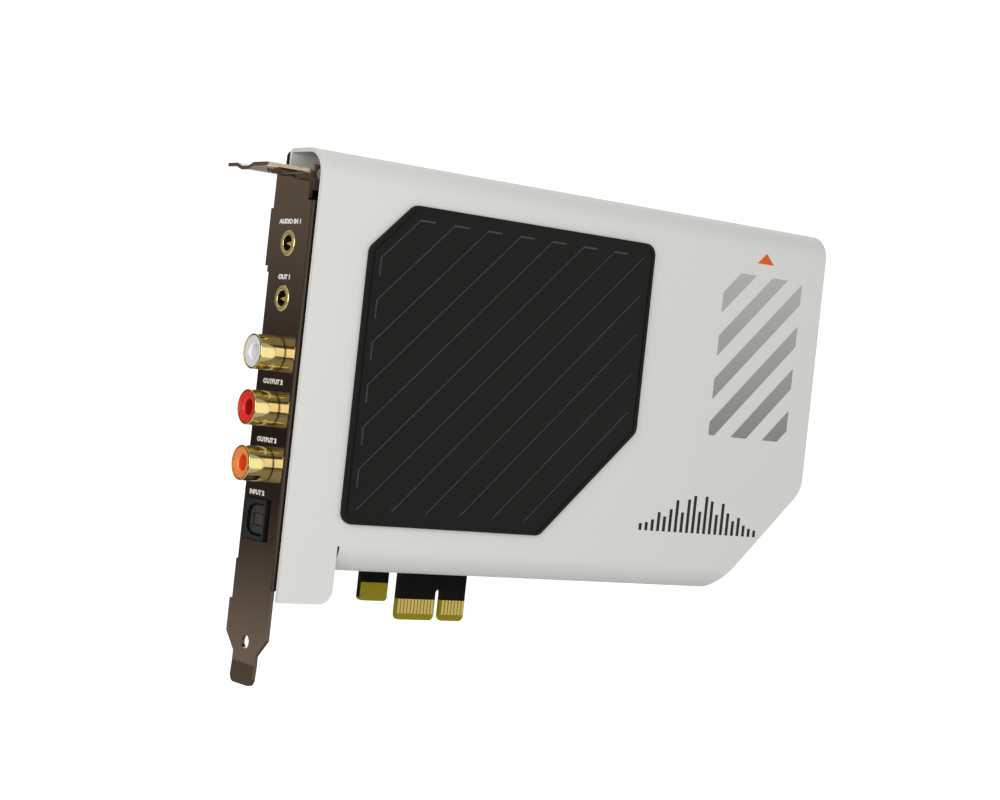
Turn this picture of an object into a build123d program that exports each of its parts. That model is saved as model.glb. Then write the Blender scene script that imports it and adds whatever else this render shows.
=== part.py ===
from build123d import *
from math import cos, radians, sin, sqrt
import os

# A sound card for a computer's expansion slot: a slot bracket with its jacks, a circuit board behind, and a
# bent shroud over the component side. X runs along the card away from the bracket, Y from the middle of the
# board towards its solder side, Z up. The origin is at the foot of the edge connector, in its key notch.

# Circuit board
board_thickness = 1.57
board_inset = 0.4
board_foot_inset = 0.7
board_end_gap = 0.4
board_corner_radius = 1.5

# Edge connector and retention tab
key_width = 1.9
key_height = 7.83
key_margin = 0.35
contact_pitch = 1.0
contact_width = 0.7
contact_margin = 0.15
contact_height = 3.6
contact_plating = 0.05
contacts_before_key = 11
contacts_after_key = 7
bevel_height = 1.3
bevel_depth = 0.45
bevel_to_contact = 0.3
connector_corner_radius = 1.0
retention_gap = 3.3
retention_width = 8.01
retention_foot = 4.43

# Slot bracket
bracket_x = -57.15
bracket_sheet = 0.86
bracket_width = 18.42
bend_radius = 1.2
tab_underside = 103.83
tab_depth = 11.43
tab_far_overhang = 3.15
slot_width = 4.42
slot_offset = 5.9
slot_reach = 2.45
dip_depth = 0.8
dip_start = 6.6
dip_slope = 2.2
dip_flat = 3.2
dip_run_out = 2.0
shoulder_z = 97.5
shoulder_step = 2.21
far_step = 1.01
far_step_z = 95.66
far_wide_z = 82.1
far_notch_height = 1.5
far_notch_depth = 0.2
far_low_z = 3.75
foot_chamfer_z = -4.03
tongue_width = 10.2
tongue_bend_z = -10.5
tongue_tip_z = -15.33
tongue_bend_angle = -3
tongue_corner_radius = 2.0
tongue_hole_radius = 1.6
tongue_hole_z = -5.5
near_flange_low = 7.5
near_flange_depth = 6.0
far_flange_low = 13.2
far_flange_depth = 9.0
flange_root = 4.0
ear_low = 99.9
ear_high = 105.9
ear_depth = 7.15
ear_corner_radius = 1.5
ear_hole_radius = 1.5
ear_hole_offset = 3.1
ear_hole_z = 103.8
hole_clearance = 0.1

# Bracket screws through the far flange, a spacer, the board and a nut
spacer_thickness = 0.715
spacer_radius = 2.2
bracket_screw_radius = 1.0
bracket_screw_offset = 4.65
screw_clearance = 0.1
small_head_radius = 1.9
small_head_height = 1.3
small_nut_width = 4.0
small_nut_height = 1.6
nut_margin = 0.2

# Jacks, on one line down the bracket
jack_height = 5.115
jack_row_z = 55.25
jack_pitch = 12.9
jack_count = 6
jack_nose_radius = 3.1
jack_bore_radius = 1.8
jack_nose_reach = 0.3
jack_nose_length = 3.25
jack_body_gap = 0.09
jack_body_length = 14.0
jack_body_width = 7.2
jack_body_depth = 8.4
jack_bore_depth = 14.2
terminal_thickness = 0.3
terminal_width = 1.2
terminal_height = 3.2
terminal_foot = 1.0

phono_radius = 4.15
phono_wall = 0.4
phono_shoulder_radius = 4.65
phono_reach = 6.4
phono_lip = 0.3
phono_flange_radius = 4.95
phono_flange_thickness = 1.0
phono_tail = 3.0
phono_insulator_recess = 0.35
phono_insulator_gap = 0.05
phono_hole_radius = 1.75
phono_dish_radius = 2.3
phono_dish_depth = 0.5
phono_contact_radius = 1.62
phono_contact_wall = 0.35
phono_contact_depth = 3.2
phono_body_length = 10.0
phono_body_width = 10.0
phono_body_depth = 10.2
phono_back_wall = 1.2
phono_foot_width = 2.0

optical_reach = 0.6
optical_nose_drop = 0.4
optical_face_height = 9.8
optical_face_depth = 9.6
optical_body_height = 10.4
optical_body_depth = 10.8
optical_length = 17.0
optical_front_wall = 0.6
optical_stop_wall = 0.92
optical_back_wall = 2.3
optical_mouth_depth = 7.15
optical_mouth_height = 7.5
optical_mouth_near = 1.05
optical_key_height = 6.2
optical_key_depth = 4.7
optical_key_slope = 0.75
optical_tip_height = 3.66
optical_tip_depth = 1.05
shutter_thickness = 0.6
shutter_axis_setback = 1.1
shutter_axis_near = 0.9
shutter_axis_behind_front = 0.15
shutter_hub_radius = 0.45
shutter_pin_radius = 0.4
shutter_pin_length = 0.65
shutter_pin_clearance = 0.05
shutter_clearance = 0.1
shutter_lap = 0.2
shutter_panel_depth = 4.4
shutter_panel_height = 3.0
shutter_panel_recess = 0.15
spring_thickness = 0.12
spring_width = 2.4
spring_pocket = 0.3
spring_length = 5.5
spring_reach = 1.2
receiver_lens_radius = 1.6
receiver_lens_reach = 1.2
receiver_size = 6.0

# Shroud
shroud_sheet = 1.0
shroud_slip = 0.09
shroud_end_gap = 0.29
shroud_right = 105.95
shroud_top = 109.9
shroud_bottom = 12.5
roll_radius = 6.5
return_height = 6.0
return_bend_radius = 1.5
corner_cut = 27.95
corner_cut_radius = 8.0
foot_width = 14.75
foot_bottom = 4.93
foot_corner_radius = 3.6
slit_width = 0.55
slit_height = 5.8

# Panel on the shroud, with its rim and diagonal grooves
panel_thickness = 0.8
panel_left = -41.57
panel_right = 44.71
panel_bottom = 24.0
panel_top = 99.98
panel_top_cut = 11.4
panel_bottom_cut = 27.9
panel_corner_radius = 3.0
rim_width = 0.9
rim_groove_width = 0.6
rim_groove_depth = 0.3
field_margin = 3.4
groove_width = 0.5
groove_depth = 0.2
groove_count = 12
groove_step = 9.93
groove_first = 124.9
groove_hook = 4.45

# Foil stripes and marker triangle, stuck on the shroud
foil_thickness = 0.06
stripes_left = 70.02
stripes_right = 97.91
stripes_bottom = 53.06
stripes_top = 96.4
stripe_count = 6
stripe_first = 15.3
stripe_step = 11.4
stripe_height = 5.45
marker_x = 83.95
marker_foot = 99.75
marker_width = 5.88
marker_height = 2.8

# Standoffs and screws that hold the board to the shroud
standoff_left = -30.0
standoff_right = 36.0
standoff_low_right = 8.0
standoff_high = 90.0
standoff_low = 34.0
flange_top_left = -20.0
flange_top_right = 95.0
flange_low_left = -34.0
flange_low_right = 60.0
standoff_width = 5.0
standoff_stub_radius = 2.1
screw_radius = 1.2
screw_thread_gap = 0.05
screw_length = 6.0
screw_head_radius = 2.3
screw_head_height = 1.6
recess_width = 0.7
recess_length = 2.4
recess_depth = 0.7
nut_width = 4.5
nut_height = 1.6
nut_stub_radius = 1.9

# Values that follow from those above
board_front = -board_thickness / 2
board_back = board_thickness / 2
contact_first = key_width / 2 + key_margin + contact_width / 2
contact_low = bevel_height + bevel_to_contact
contact_high = contact_low + contact_height
contact_half_span = contact_width / 2 + contact_margin
connector_left = -(contact_first + (contacts_before_key - 1) * contact_pitch + contact_half_span)
connector_right = contact_first + (contacts_after_key - 1) * contact_pitch + contact_half_span
jack_axis_y = board_front - jack_height
jack_heights = [jack_row_z + ((jack_count - 1) / 2 - place) * jack_pitch for place in range(jack_count)]
plug_heights = jack_heights[:2]
phono_heights = jack_heights[2:5]
optical_z = jack_heights[5]
bracket_inner = bracket_x + bracket_sheet
bracket_near = jack_axis_y - bracket_width / 2
bracket_far = jack_axis_y + bracket_width / 2
far_flange_y = board_back + spacer_thickness
far_flange_outer = far_flange_y + bracket_sheet
board_left = bracket_inner + board_end_gap
jack_body_x = bracket_inner + jack_body_gap
shroud_inner = bracket_near - shroud_slip
shroud_front = shroud_inner - shroud_sheet
shroud_left = bracket_inner + shroud_end_gap
slit_left = shroud_left + foot_width
slit_right = slit_left + slit_width
slit_top = shroud_bottom + slit_height
standoff_length = board_front - shroud_inner
front_face = Plane.XZ.offset(-shroud_front)
board_face = Plane.XZ.offset(-board_front)
board_rear = Plane.XZ.offset(-board_back)
bracket_screw_x = bracket_inner + bracket_screw_offset
bracket_screw_places = [
    (bracket_screw_x, (phono_heights[0] + phono_body_width / 2 + plug_heights[1] - jack_body_width / 2) / 2),
    (bracket_screw_x, optical_z - optical_body_height / 2 - nut_margin - small_nut_width / 2),
]
standoff_places = [
    (standoff_left, standoff_high),
    (standoff_right, standoff_high),
    (standoff_left, standoff_low),
    (standoff_low_right, standoff_low),
]
flange_top_z = shroud_top - shroud_sheet - return_height / 2
flange_low_z = shroud_bottom + shroud_sheet + return_height / 2
flange_places = [(x, flange_top_z) for x in (flange_top_left, flange_top_right)]
flange_places += [(x, flange_low_z) for x in (flange_low_left, flange_low_right)]

os.makedirs("parts", exist_ok=True)


def bent_strip(points, radii, sheet):
    """Section of a bent strip: one face follows the points, and the sheet lies to the left of it."""
    runs = [(Vector(*end) - Vector(*start)).normalized() for start, end in zip(points, points[1:])]
    sides = [Vector(-run.Y, run.X) for run in runs]
    inner = [Vector(*points[0]) + sides[0] * sheet]
    inner_radii = []
    for corner, radius, before, after, run, turned in zip(
        points[1:-1], radii, sides, sides[1:], runs, runs[1:]
    ):
        inner.append(Vector(*corner) + (before + after) * (sheet / (1 + before.dot(after))))
        turns_left = run.cross(turned).Z > 0
        inner_radii.append(radius and radius + (-sheet if turns_left else sheet))
    inner.append(Vector(*points[-1]) + sides[-1] * sheet)
    with BuildLine() as section:
        outside = FilletPolyline(*points, radius=radii) if any(radii) else Polyline(*points)
        inside = FilletPolyline(*inner, radius=inner_radii) if any(radii) else Polyline(*inner)
        Line(outside @ 0, inside @ 0)
        Line(outside @ 1, inside @ 1)
    make_face(section.edges())


def write(builder, name):
    """Label the finished piece and write it to its own file."""
    builder.part.label = name
    export_step(builder.part, f"parts/{name}.step")


# Slot bracket: one piece of steel sheet. Its plate stands at the card's end, the top tab is bent outwards
# for the chassis screw, two flanges and an ear are bent inwards, and the tongue below locates in the chassis.
upper_near = bracket_near + shoulder_step
upper_far = bracket_far - far_step
tongue_near = jack_axis_y - tongue_width / 2
tongue_far = jack_axis_y + tongue_width / 2
foot_drop = (bracket_width - tongue_width) / 2
tab_top = tab_underside + bracket_sheet
tab_outer = bracket_x - tab_depth
tab_far = upper_far + tab_far_overhang
tab_flat_start = bracket_x - bend_radius
plate_top = tab_top - flange_root / 2
root_lap = flange_root / 2
tip_plane = Plane(
    origin=(bracket_x, 0, tongue_bend_z),
    x_dir=(0, 1, 0),
    z_dir=(cos(radians(tongue_bend_angle)), 0, sin(radians(tongue_bend_angle))),
)
tip_length = (tongue_bend_z - tongue_tip_z) / cos(radians(tongue_bend_angle))
tip_lap = 0.2
far_narrow_z = far_wide_z - far_notch_height
plate_points = [
    (upper_near, plate_top),
    (upper_far, plate_top),
    (upper_far, far_step_z),
    (bracket_far, far_step_z),
    (bracket_far, far_wide_z),
    (far_flange_outer - far_notch_depth, far_wide_z),
    (far_flange_outer - far_notch_depth, far_narrow_z),
    (far_flange_outer - root_lap, far_narrow_z),
    (far_flange_outer - root_lap, far_flange_low),
    (far_flange_outer - far_notch_depth, far_flange_low),
    (far_flange_outer - far_notch_depth, far_low_z),
    (bracket_far, far_low_z),
    (bracket_far, foot_chamfer_z),
    (tongue_far, foot_chamfer_z - foot_drop),
    (tongue_far, tongue_bend_z),
    (tongue_near, tongue_bend_z),
    (tongue_near, foot_chamfer_z - foot_drop),
    (bracket_near, foot_chamfer_z),
    (bracket_near, near_flange_low),
    (bracket_near + root_lap, near_flange_low),
    (bracket_near + root_lap, shoulder_z),
    (upper_near, shoulder_z),
]
dip_ys = [
    upper_near,
    upper_near + dip_start,
    upper_near + dip_start + dip_slope,
    upper_near + dip_start + dip_slope + dip_flat,
    upper_near + dip_start + dip_slope + dip_flat + dip_slope,
    tab_far,
]
dip_drops = [0, 0, dip_depth, dip_depth, 0, 0]
dip_inner_x = tab_flat_start - dip_run_out
with BuildPart() as bracket:
    with BuildSketch(Plane.YZ.offset(bracket_x)):
        Polygon(*plate_points, align=None)
        with Locations((jack_axis_y, tongue_hole_z)):
            Circle(tongue_hole_radius, mode=Mode.SUBTRACT)
    extrude(amount=bracket_sheet)
    with BuildSketch(tip_plane) as tip:
        with Locations((jack_axis_y, (tip_lap - tip_length) / 2)):
            Rectangle(tongue_width, tip_length + tip_lap)
        fillet(tip.vertices().group_by(Axis.Y)[0], tongue_corner_radius)
    extrude(amount=bracket_sheet)
    with BuildSketch(Plane.XY.offset(near_flange_low)):
        bent_strip(
            [
                (bracket_x, bracket_near + flange_root),
                (bracket_x, bracket_near),
                (bracket_x + near_flange_depth, bracket_near),
            ],
            [bend_radius],
            bracket_sheet,
        )
    extrude(amount=shoulder_z - near_flange_low)
    with BuildSketch(Plane.XY.offset(far_flange_low)):
        bent_strip(
            [
                (bracket_x + far_flange_depth, far_flange_outer),
                (bracket_x, far_flange_outer),
                (bracket_x, far_flange_outer - flange_root),
            ],
            [bend_radius],
            bracket_sheet,
        )
    extrude(amount=far_narrow_z - far_flange_low)
    with BuildSketch(Plane.XZ.offset(-upper_far)):
        bent_strip(
            [
                (bracket_inner, tab_top - flange_root),
                (bracket_inner, tab_top),
                (tab_flat_start - bend_radius, tab_top),
            ],
            [bend_radius],
            bracket_sheet,
        )
    extrude(amount=upper_far - upper_near)
    for x, share in ((tab_flat_start, 0), (dip_inner_x, 1)):
        with BuildSketch(Plane.YZ.offset(x)):
            bent_strip(
                [(y, tab_underside - share * drop) for y, drop in zip(dip_ys, dip_drops)],
                [0] * (len(dip_ys) - 2),
                bracket_sheet,
            )
    loft(ruled=True)
    with BuildSketch(Plane.YZ.offset(tab_outer)):
        bent_strip(
            [(y, tab_underside - drop) for y, drop in zip(dip_ys, dip_drops)],
            [0] * (len(dip_ys) - 2),
            bracket_sheet,
        )
    extrude(amount=dip_inner_x - tab_outer)
    with BuildSketch(Plane.XY.offset(tab_underside - dip_depth)):
        with Locations((bracket_x - slot_offset, tab_far - slot_reach + slot_width / 2)):
            Circle(slot_width / 2)
        with Locations((bracket_x - slot_offset, tab_far - slot_reach / 2 + slot_width / 2)):
            Rectangle(slot_width, slot_reach)
    extrude(amount=bracket_sheet + 2 * dip_depth, mode=Mode.SUBTRACT)
    with BuildSketch(Plane.XY.offset(ear_low)):
        bent_strip(
            [
                (bracket_x, upper_near + flange_root),
                (bracket_x, upper_near),
                (bracket_x + bend_radius + bracket_sheet, upper_near),
            ],
            [bend_radius],
            bracket_sheet,
        )
    extrude(amount=tab_underside - ear_low - bend_radius)
    with BuildSketch(Plane.XZ.offset(-upper_near - bracket_sheet)) as ear:
        with Locations((bracket_x + bend_radius, ear_low)):
            Rectangle(ear_depth - bend_radius, ear_high - ear_low, align=(Align.MIN, Align.MIN))
        fillet(ear.vertices().group_by(Axis.X)[-1], ear_corner_radius)
    extrude(amount=bracket_sheet)
    with BuildSketch(Plane.XZ.offset(-upper_near - bracket_sheet)):
        with Locations((bracket_x + ear_hole_offset, ear_hole_z)):
            Circle(ear_hole_radius)
    extrude(amount=bracket_sheet, mode=Mode.SUBTRACT)
    with BuildSketch(Plane.YZ.offset(bracket_x)):
        with Locations(*[(jack_axis_y, z) for z in plug_heights]):
            Circle(jack_nose_radius + hole_clearance)
        with Locations(*[(jack_axis_y, z) for z in phono_heights]):
            Circle(phono_shoulder_radius + hole_clearance)
        with Locations((board_front + optical_nose_drop - optical_face_depth / 2, optical_z)):
            Rectangle(optical_face_depth + 2 * hole_clearance, optical_face_height + 2 * hole_clearance)
    extrude(amount=bracket_sheet, mode=Mode.SUBTRACT)
    with BuildSketch(Plane.XZ.offset(-far_flange_outer)):
        with Locations(*bracket_screw_places):
            Circle(bracket_screw_radius + screw_clearance)
    extrude(amount=bracket_sheet, mode=Mode.SUBTRACT)
write(bracket, "bracket")

# Circuit board: glass laminate with black solder mask, cut to the shroud's outline, with the edge connector,
# its key notch and bevel, and the retention tab below it.
board_top = shroud_top - board_inset
board_right = shroud_right - board_inset
board_bottom = shroud_bottom + board_foot_inset
cut_line = shroud_right - corner_cut - shroud_bottom - board_inset * sqrt(2)
retention_right = connector_left - retention_gap
key_arc_z = key_height - key_width / 2
board_screw_places = standoff_places + flange_places
with BuildPart() as circuit_board:
    with BuildSketch(board_rear) as outline:
        Polygon(
            (board_left, board_bottom),
            (board_bottom + cut_line, board_bottom),
            (board_right, board_right - cut_line),
            (board_right, board_top),
            (board_left, board_top),
            align=None,
        )
        fillet(outline.vertices().group_by(Axis.Y)[-1], board_corner_radius)
        with Locations((connector_left, 0)):
            Rectangle(connector_right - connector_left, board_bottom, align=(Align.MIN, Align.MIN))
        with Locations((retention_right, retention_foot)):
            Rectangle(retention_width, board_bottom - retention_foot, align=(Align.MAX, Align.MIN))
        with Locations((0, 0)):
            Rectangle(key_width, key_arc_z, align=(Align.CENTER, Align.MIN), mode=Mode.SUBTRACT)
        with Locations((0, key_arc_z)):
            Circle(key_width / 2, mode=Mode.SUBTRACT)
        low_corners = outline.vertices().filter_by(lambda corner: corner.Y < retention_foot + contact_pitch)
        fillet(low_corners, connector_corner_radius)
        with Locations(*board_screw_places):
            Circle(screw_radius + screw_clearance, mode=Mode.SUBTRACT)
        with Locations(*bracket_screw_places):
            Circle(bracket_screw_radius + screw_clearance, mode=Mode.SUBTRACT)
    extrude(amount=board_thickness)
    with BuildSketch(Plane.YZ.offset(connector_left)):
        Polygon((board_front, bevel_height), (board_front, 0), (board_front + bevel_depth, 0), align=None)
        Polygon((board_back, bevel_height), (board_back, 0), (board_back - bevel_depth, 0), align=None)
    extrude(amount=connector_right - connector_left, mode=Mode.SUBTRACT)
write(circuit_board, "circuit_board")

# Edge contacts: gold plated copper strips on both faces of the edge connector.
contact_xs = [-contact_first - place * contact_pitch for place in range(contacts_before_key)]
contact_xs += [contact_first + place * contact_pitch for place in range(contacts_after_key)]
with BuildPart() as edge_contacts:
    for plane, outwards in ((board_face, 1), (board_rear, -1)):
        with BuildSketch(plane):
            with Locations(*[(x, (contact_low + contact_high) / 2) for x in contact_xs]):
                Rectangle(contact_width, contact_height)
        extrude(amount=outwards * contact_plating)
write(edge_contacts, "edge_contacts")

# Bracket spacers: washers between the board and the bracket's far flange.
with BuildPart() as bracket_spacers:
    with BuildSketch(board_rear):
        with Locations(*bracket_screw_places):
            Circle(spacer_radius)
            Circle(bracket_screw_radius + screw_clearance, mode=Mode.SUBTRACT)
    extrude(amount=-spacer_thickness)
write(bracket_spacers, "bracket_spacers")

# Bracket nuts: hexagon nuts on the board's component side, with two flats facing the jacks.
with BuildPart() as bracket_nuts:
    with BuildSketch(board_face):
        with Locations(*bracket_screw_places):
            RegularPolygon(small_nut_width / 2, 6, major_radius=False)
            Circle(bracket_screw_radius + screw_thread_gap, mode=Mode.SUBTRACT)
    extrude(amount=small_nut_height)
write(bracket_nuts, "bracket_nuts")

# Bracket screws: pan head screws from behind, through flange, spacer and board into the nuts.
bracket_screw_length = bracket_sheet + spacer_thickness + board_thickness + small_nut_height
with BuildPart() as bracket_screws:
    with BuildSketch(Plane.XZ.offset(-far_flange_outer)):
        with Locations(*bracket_screw_places):
            Circle(bracket_screw_radius)
    extrude(amount=bracket_screw_length)
    with BuildSketch(Plane.XZ.offset(-far_flange_outer)):
        with Locations(*bracket_screw_places):
            Circle(small_head_radius)
    extrude(amount=-small_head_height)
    with BuildSketch(Plane.XZ.offset(-far_flange_outer - small_head_height)):
        with Locations(*bracket_screw_places):
            Rectangle(recess_length, recess_width)
            Rectangle(recess_width, recess_length)
    extrude(amount=recess_depth, mode=Mode.SUBTRACT)
write(bracket_screws, "bracket_screws")

# Jacks for 3.5 mm plugs: a gold plated nose ring in the bracket's hole, a moulded body on the board behind it
# with the plug's bore, and four terminals down its sides to the board.
nose_front_x = bracket_x - jack_nose_reach
nose_back_x = nose_front_x + jack_nose_length
jack_side = jack_body_width / 2
terminal_xs = [jack_body_x + jack_body_length * share for share in (0.55, 0.85)]
for index, z in enumerate(plug_heights, start=1):
    with BuildPart() as jack_nose:
        with BuildSketch(Plane.YZ.offset(nose_front_x)):
            with Locations((jack_axis_y, z)):
                Circle(jack_nose_radius)
                Circle(jack_bore_radius, mode=Mode.SUBTRACT)
        extrude(amount=jack_nose_length)
        mouth = jack_nose.edges().filter_by(GeomType.CIRCLE).group_by(Axis.X)[0]
        chamfer(mouth.sort_by(SortBy.RADIUS)[0], jack_nose_reach / 2)
        fillet(jack_nose.edges().filter_by(GeomType.CIRCLE).group_by(Axis.X)[0], jack_nose_reach / 3)
    write(jack_nose, f"jack_nose_{index}")

    with BuildPart() as jack_body:
        with BuildSketch(Plane.YZ.offset(jack_body_x)):
            with Locations((board_front - jack_body_depth / 2, z)):
                Rectangle(jack_body_depth, jack_body_width)
        extrude(amount=jack_body_length)
        with BuildSketch(Plane.YZ.offset(jack_body_x)):
            with Locations((jack_axis_y, z)):
                Circle(jack_nose_radius)
        extrude(amount=nose_back_x - jack_body_x, mode=Mode.SUBTRACT)
        with BuildSketch(Plane.YZ.offset(nose_back_x)):
            with Locations((jack_axis_y, z)):
                Circle(jack_bore_radius)
        extrude(amount=jack_bore_depth - jack_nose_length, mode=Mode.SUBTRACT)
    write(jack_body, f"jack_body_{index}")

    with BuildPart() as jack_contacts:
        for x in terminal_xs:
            for side in (-1, 1):
                with BuildSketch(Plane.YZ.offset(x)):
                    bent_strip(
                        [
                            (board_front - terminal_height, z + side * jack_side),
                            (board_front, z + side * jack_side),
                            (board_front, z + side * (jack_side + terminal_foot)),
                        ][::side],
                        [0],
                        terminal_thickness,
                    )
                extrude(amount=terminal_width)
    write(jack_contacts, f"jack_contacts_{index}")

# Phono sockets: a gold plated sleeve through the bracket, with a shoulder that fills the bracket's hole, a
# flange behind it and a foot on the board, a coloured insulator in the sleeve, a tubular centre contact in the
# insulator, and a moulded body.
sleeve_tip_x = bracket_x - phono_reach
flange_x = jack_body_x
body_x = flange_x + phono_flange_thickness
sleeve_bore = phono_radius - phono_wall
sleeve_end_x = body_x + phono_tail
insulator_radius = sleeve_bore - phono_insulator_gap
insulator_tip_x = sleeve_tip_x + phono_insulator_recess
body_pocket_x = body_x + phono_body_length - phono_back_wall
contact_outer = phono_contact_radius + phono_contact_wall
contact_x = insulator_tip_x + phono_contact_depth
for index, z in enumerate(phono_heights, start=1):
    axis_place = (jack_axis_y, z)
    with BuildPart() as phono_sleeve:
        with BuildSketch(Plane.YZ.offset(sleeve_tip_x)):
            with Locations(axis_place):
                Circle(phono_radius)
        extrude(amount=sleeve_end_x - sleeve_tip_x)
        fillet(phono_sleeve.edges().group_by(Axis.X)[0], phono_lip)
        with BuildSketch(Plane.YZ.offset(bracket_x)):
            with Locations(axis_place):
                Circle(phono_shoulder_radius)
        extrude(amount=flange_x - bracket_x)
        with BuildSketch(Plane.YZ.offset(flange_x)):
            with Locations(axis_place):
                Circle(phono_flange_radius)
            with Locations((board_front, z)):
                Rectangle(jack_height, phono_foot_width, align=(Align.MAX, Align.CENTER))
        extrude(amount=phono_flange_thickness)
        with BuildSketch(Plane.YZ.offset(sleeve_tip_x)):
            with Locations(axis_place):
                Circle(sleeve_bore)
        extrude(amount=sleeve_end_x - sleeve_tip_x, mode=Mode.SUBTRACT)
    write(phono_sleeve, f"phono_sleeve_{index}")

    with BuildPart() as phono_insulator:
        with BuildSketch(Plane.YZ.offset(insulator_tip_x)):
            with Locations(axis_place):
                Circle(insulator_radius)
        extrude(amount=body_pocket_x - insulator_tip_x)
        with BuildSketch(Plane.YZ.offset(insulator_tip_x)):
            with Locations(axis_place):
                Circle(phono_dish_radius)
        with BuildSketch(Plane.YZ.offset(insulator_tip_x + phono_dish_depth)):
            with Locations(axis_place):
                Circle(phono_hole_radius)
        loft(mode=Mode.SUBTRACT)
        with BuildSketch(Plane.YZ.offset(insulator_tip_x)):
            with Locations(axis_place):
                Circle(phono_hole_radius)
        extrude(amount=phono_contact_depth, mode=Mode.SUBTRACT)
        with BuildSketch(Plane.YZ.offset(contact_x)):
            with Locations(axis_place):
                Circle(contact_outer)
        extrude(amount=body_pocket_x - contact_x, mode=Mode.SUBTRACT)
    write(phono_insulator, f"phono_insulator_{index}")

    with BuildPart() as phono_contact:
        with BuildSketch(Plane.YZ.offset(contact_x)):
            with Locations(axis_place):
                Circle(contact_outer)
                Circle(phono_contact_radius, mode=Mode.SUBTRACT)
        extrude(amount=body_pocket_x - contact_x)
    write(phono_contact, f"phono_contact_{index}")

    with BuildPart() as phono_body:
        with BuildSketch(Plane.YZ.offset(body_x)):
            with Locations((board_front - phono_body_depth / 2, z)):
                Rectangle(phono_body_depth, phono_body_width)
        extrude(amount=phono_body_length)
        with BuildSketch(Plane.YZ.offset(body_x)):
            with Locations(axis_place):
                Circle(phono_radius)
        extrude(amount=phono_tail, mode=Mode.SUBTRACT)
        with BuildSketch(Plane.YZ.offset(sleeve_end_x)):
            with Locations(axis_place):
                Circle(insulator_radius)
        extrude(amount=body_pocket_x - sleeve_end_x, mode=Mode.SUBTRACT)
    write(phono_body, f"phono_body_{index}")

# Optical input: a moulded housing whose nose fills the bracket's cut-out. The mouth is a keyed D, and its
# shutter hangs on two pins at the mouth's flat side and swings inwards.
face_x = bracket_x - optical_reach
housing_end_x = face_x + optical_length
face_far = board_front + optical_nose_drop
face_near = face_far - optical_face_depth
mouth_near = face_near + optical_mouth_near
mouth_far = mouth_near + optical_mouth_depth
shutter_axis_x = face_x + shutter_axis_setback
shutter_axis_y = face_near + shutter_axis_near
shutter_front_x = shutter_axis_x - shutter_axis_behind_front
shutter_end_y = mouth_far + shutter_lap
shutter_half = optical_mouth_height / 2 + shutter_lap
shutter_back_reach = shutter_thickness - shutter_axis_behind_front
cavity_near = shutter_axis_y - max(shutter_hub_radius, shutter_back_reach) - shutter_clearance
cavity_far = shutter_end_y + shutter_clearance
cavity_half = shutter_half + shutter_clearance
cavity_x = face_x + optical_front_wall
cavity_end_x = housing_end_x - optical_back_wall
stop_x = face_x + optical_stop_wall
stop_near = shutter_axis_y + shutter_hub_radius + shutter_clearance
pocket_y = cavity_near - spring_pocket
key_y = mouth_near + optical_key_depth
mouth_half_points = [
    (mouth_near, optical_mouth_height / 2),
    (key_y, optical_mouth_height / 2),
    (key_y + optical_key_slope, optical_key_height / 2),
    (mouth_far - optical_tip_depth, optical_key_height / 2),
    (mouth_far, optical_tip_height / 2),
]
mouth_points = [(y, optical_z + half) for y, half in mouth_half_points]
mouth_points += [(y, optical_z - half) for y, half in reversed(mouth_half_points)]
optical_axis_y = (mouth_near + mouth_far) / 2
with BuildPart() as optical_housing:
    with BuildSketch(Plane.YZ.offset(face_x)):
        with Locations((face_far, optical_z)):
            Rectangle(optical_face_depth, optical_face_height, align=(Align.MAX, Align.CENTER))
    extrude(amount=jack_body_x - face_x)
    with BuildSketch(Plane.YZ.offset(jack_body_x)):
        with Locations((board_front, optical_z)):
            Rectangle(optical_body_depth, optical_body_height, align=(Align.MAX, Align.CENTER))
    extrude(amount=housing_end_x - jack_body_x)
    with BuildSketch(Plane.YZ.offset(face_x)):
        Polygon(*mouth_points, align=None)
    extrude(amount=optical_stop_wall, mode=Mode.SUBTRACT)
    with BuildSketch(Plane.YZ.offset(stop_x)):
        with Locations((cavity_near, optical_z)):
            Rectangle(cavity_far - cavity_near, 2 * cavity_half, align=(Align.MIN, Align.CENTER))
    extrude(amount=cavity_end_x - stop_x, mode=Mode.SUBTRACT)
    with BuildSketch(Plane.YZ.offset(cavity_x)):
        with Locations((cavity_near, optical_z)):
            Rectangle(stop_near - cavity_near, 2 * cavity_half, align=(Align.MIN, Align.CENTER))
    extrude(amount=stop_x - cavity_x, mode=Mode.SUBTRACT)
    with BuildSketch(Plane.XY.offset(optical_z - cavity_half - shutter_pin_length)):
        with Locations((shutter_axis_x, shutter_axis_y)):
            Circle(shutter_pin_radius + shutter_pin_clearance)
    extrude(amount=2 * (cavity_half + shutter_pin_length), mode=Mode.SUBTRACT)
    with BuildSketch(Plane.YZ.offset(jack_body_x)):
        with Locations((pocket_y, optical_z)):
            Rectangle(spring_pocket, spring_width + 2 * shutter_clearance, align=(Align.MIN, Align.CENTER))
    extrude(amount=cavity_end_x - jack_body_x, mode=Mode.SUBTRACT)
    with BuildSketch(Plane.YZ.offset(cavity_end_x)):
        with Locations((optical_axis_y, optical_z)):
            Circle(receiver_lens_radius)
    extrude(amount=optical_back_wall, mode=Mode.SUBTRACT)
write(optical_housing, "optical_housing")

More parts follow.
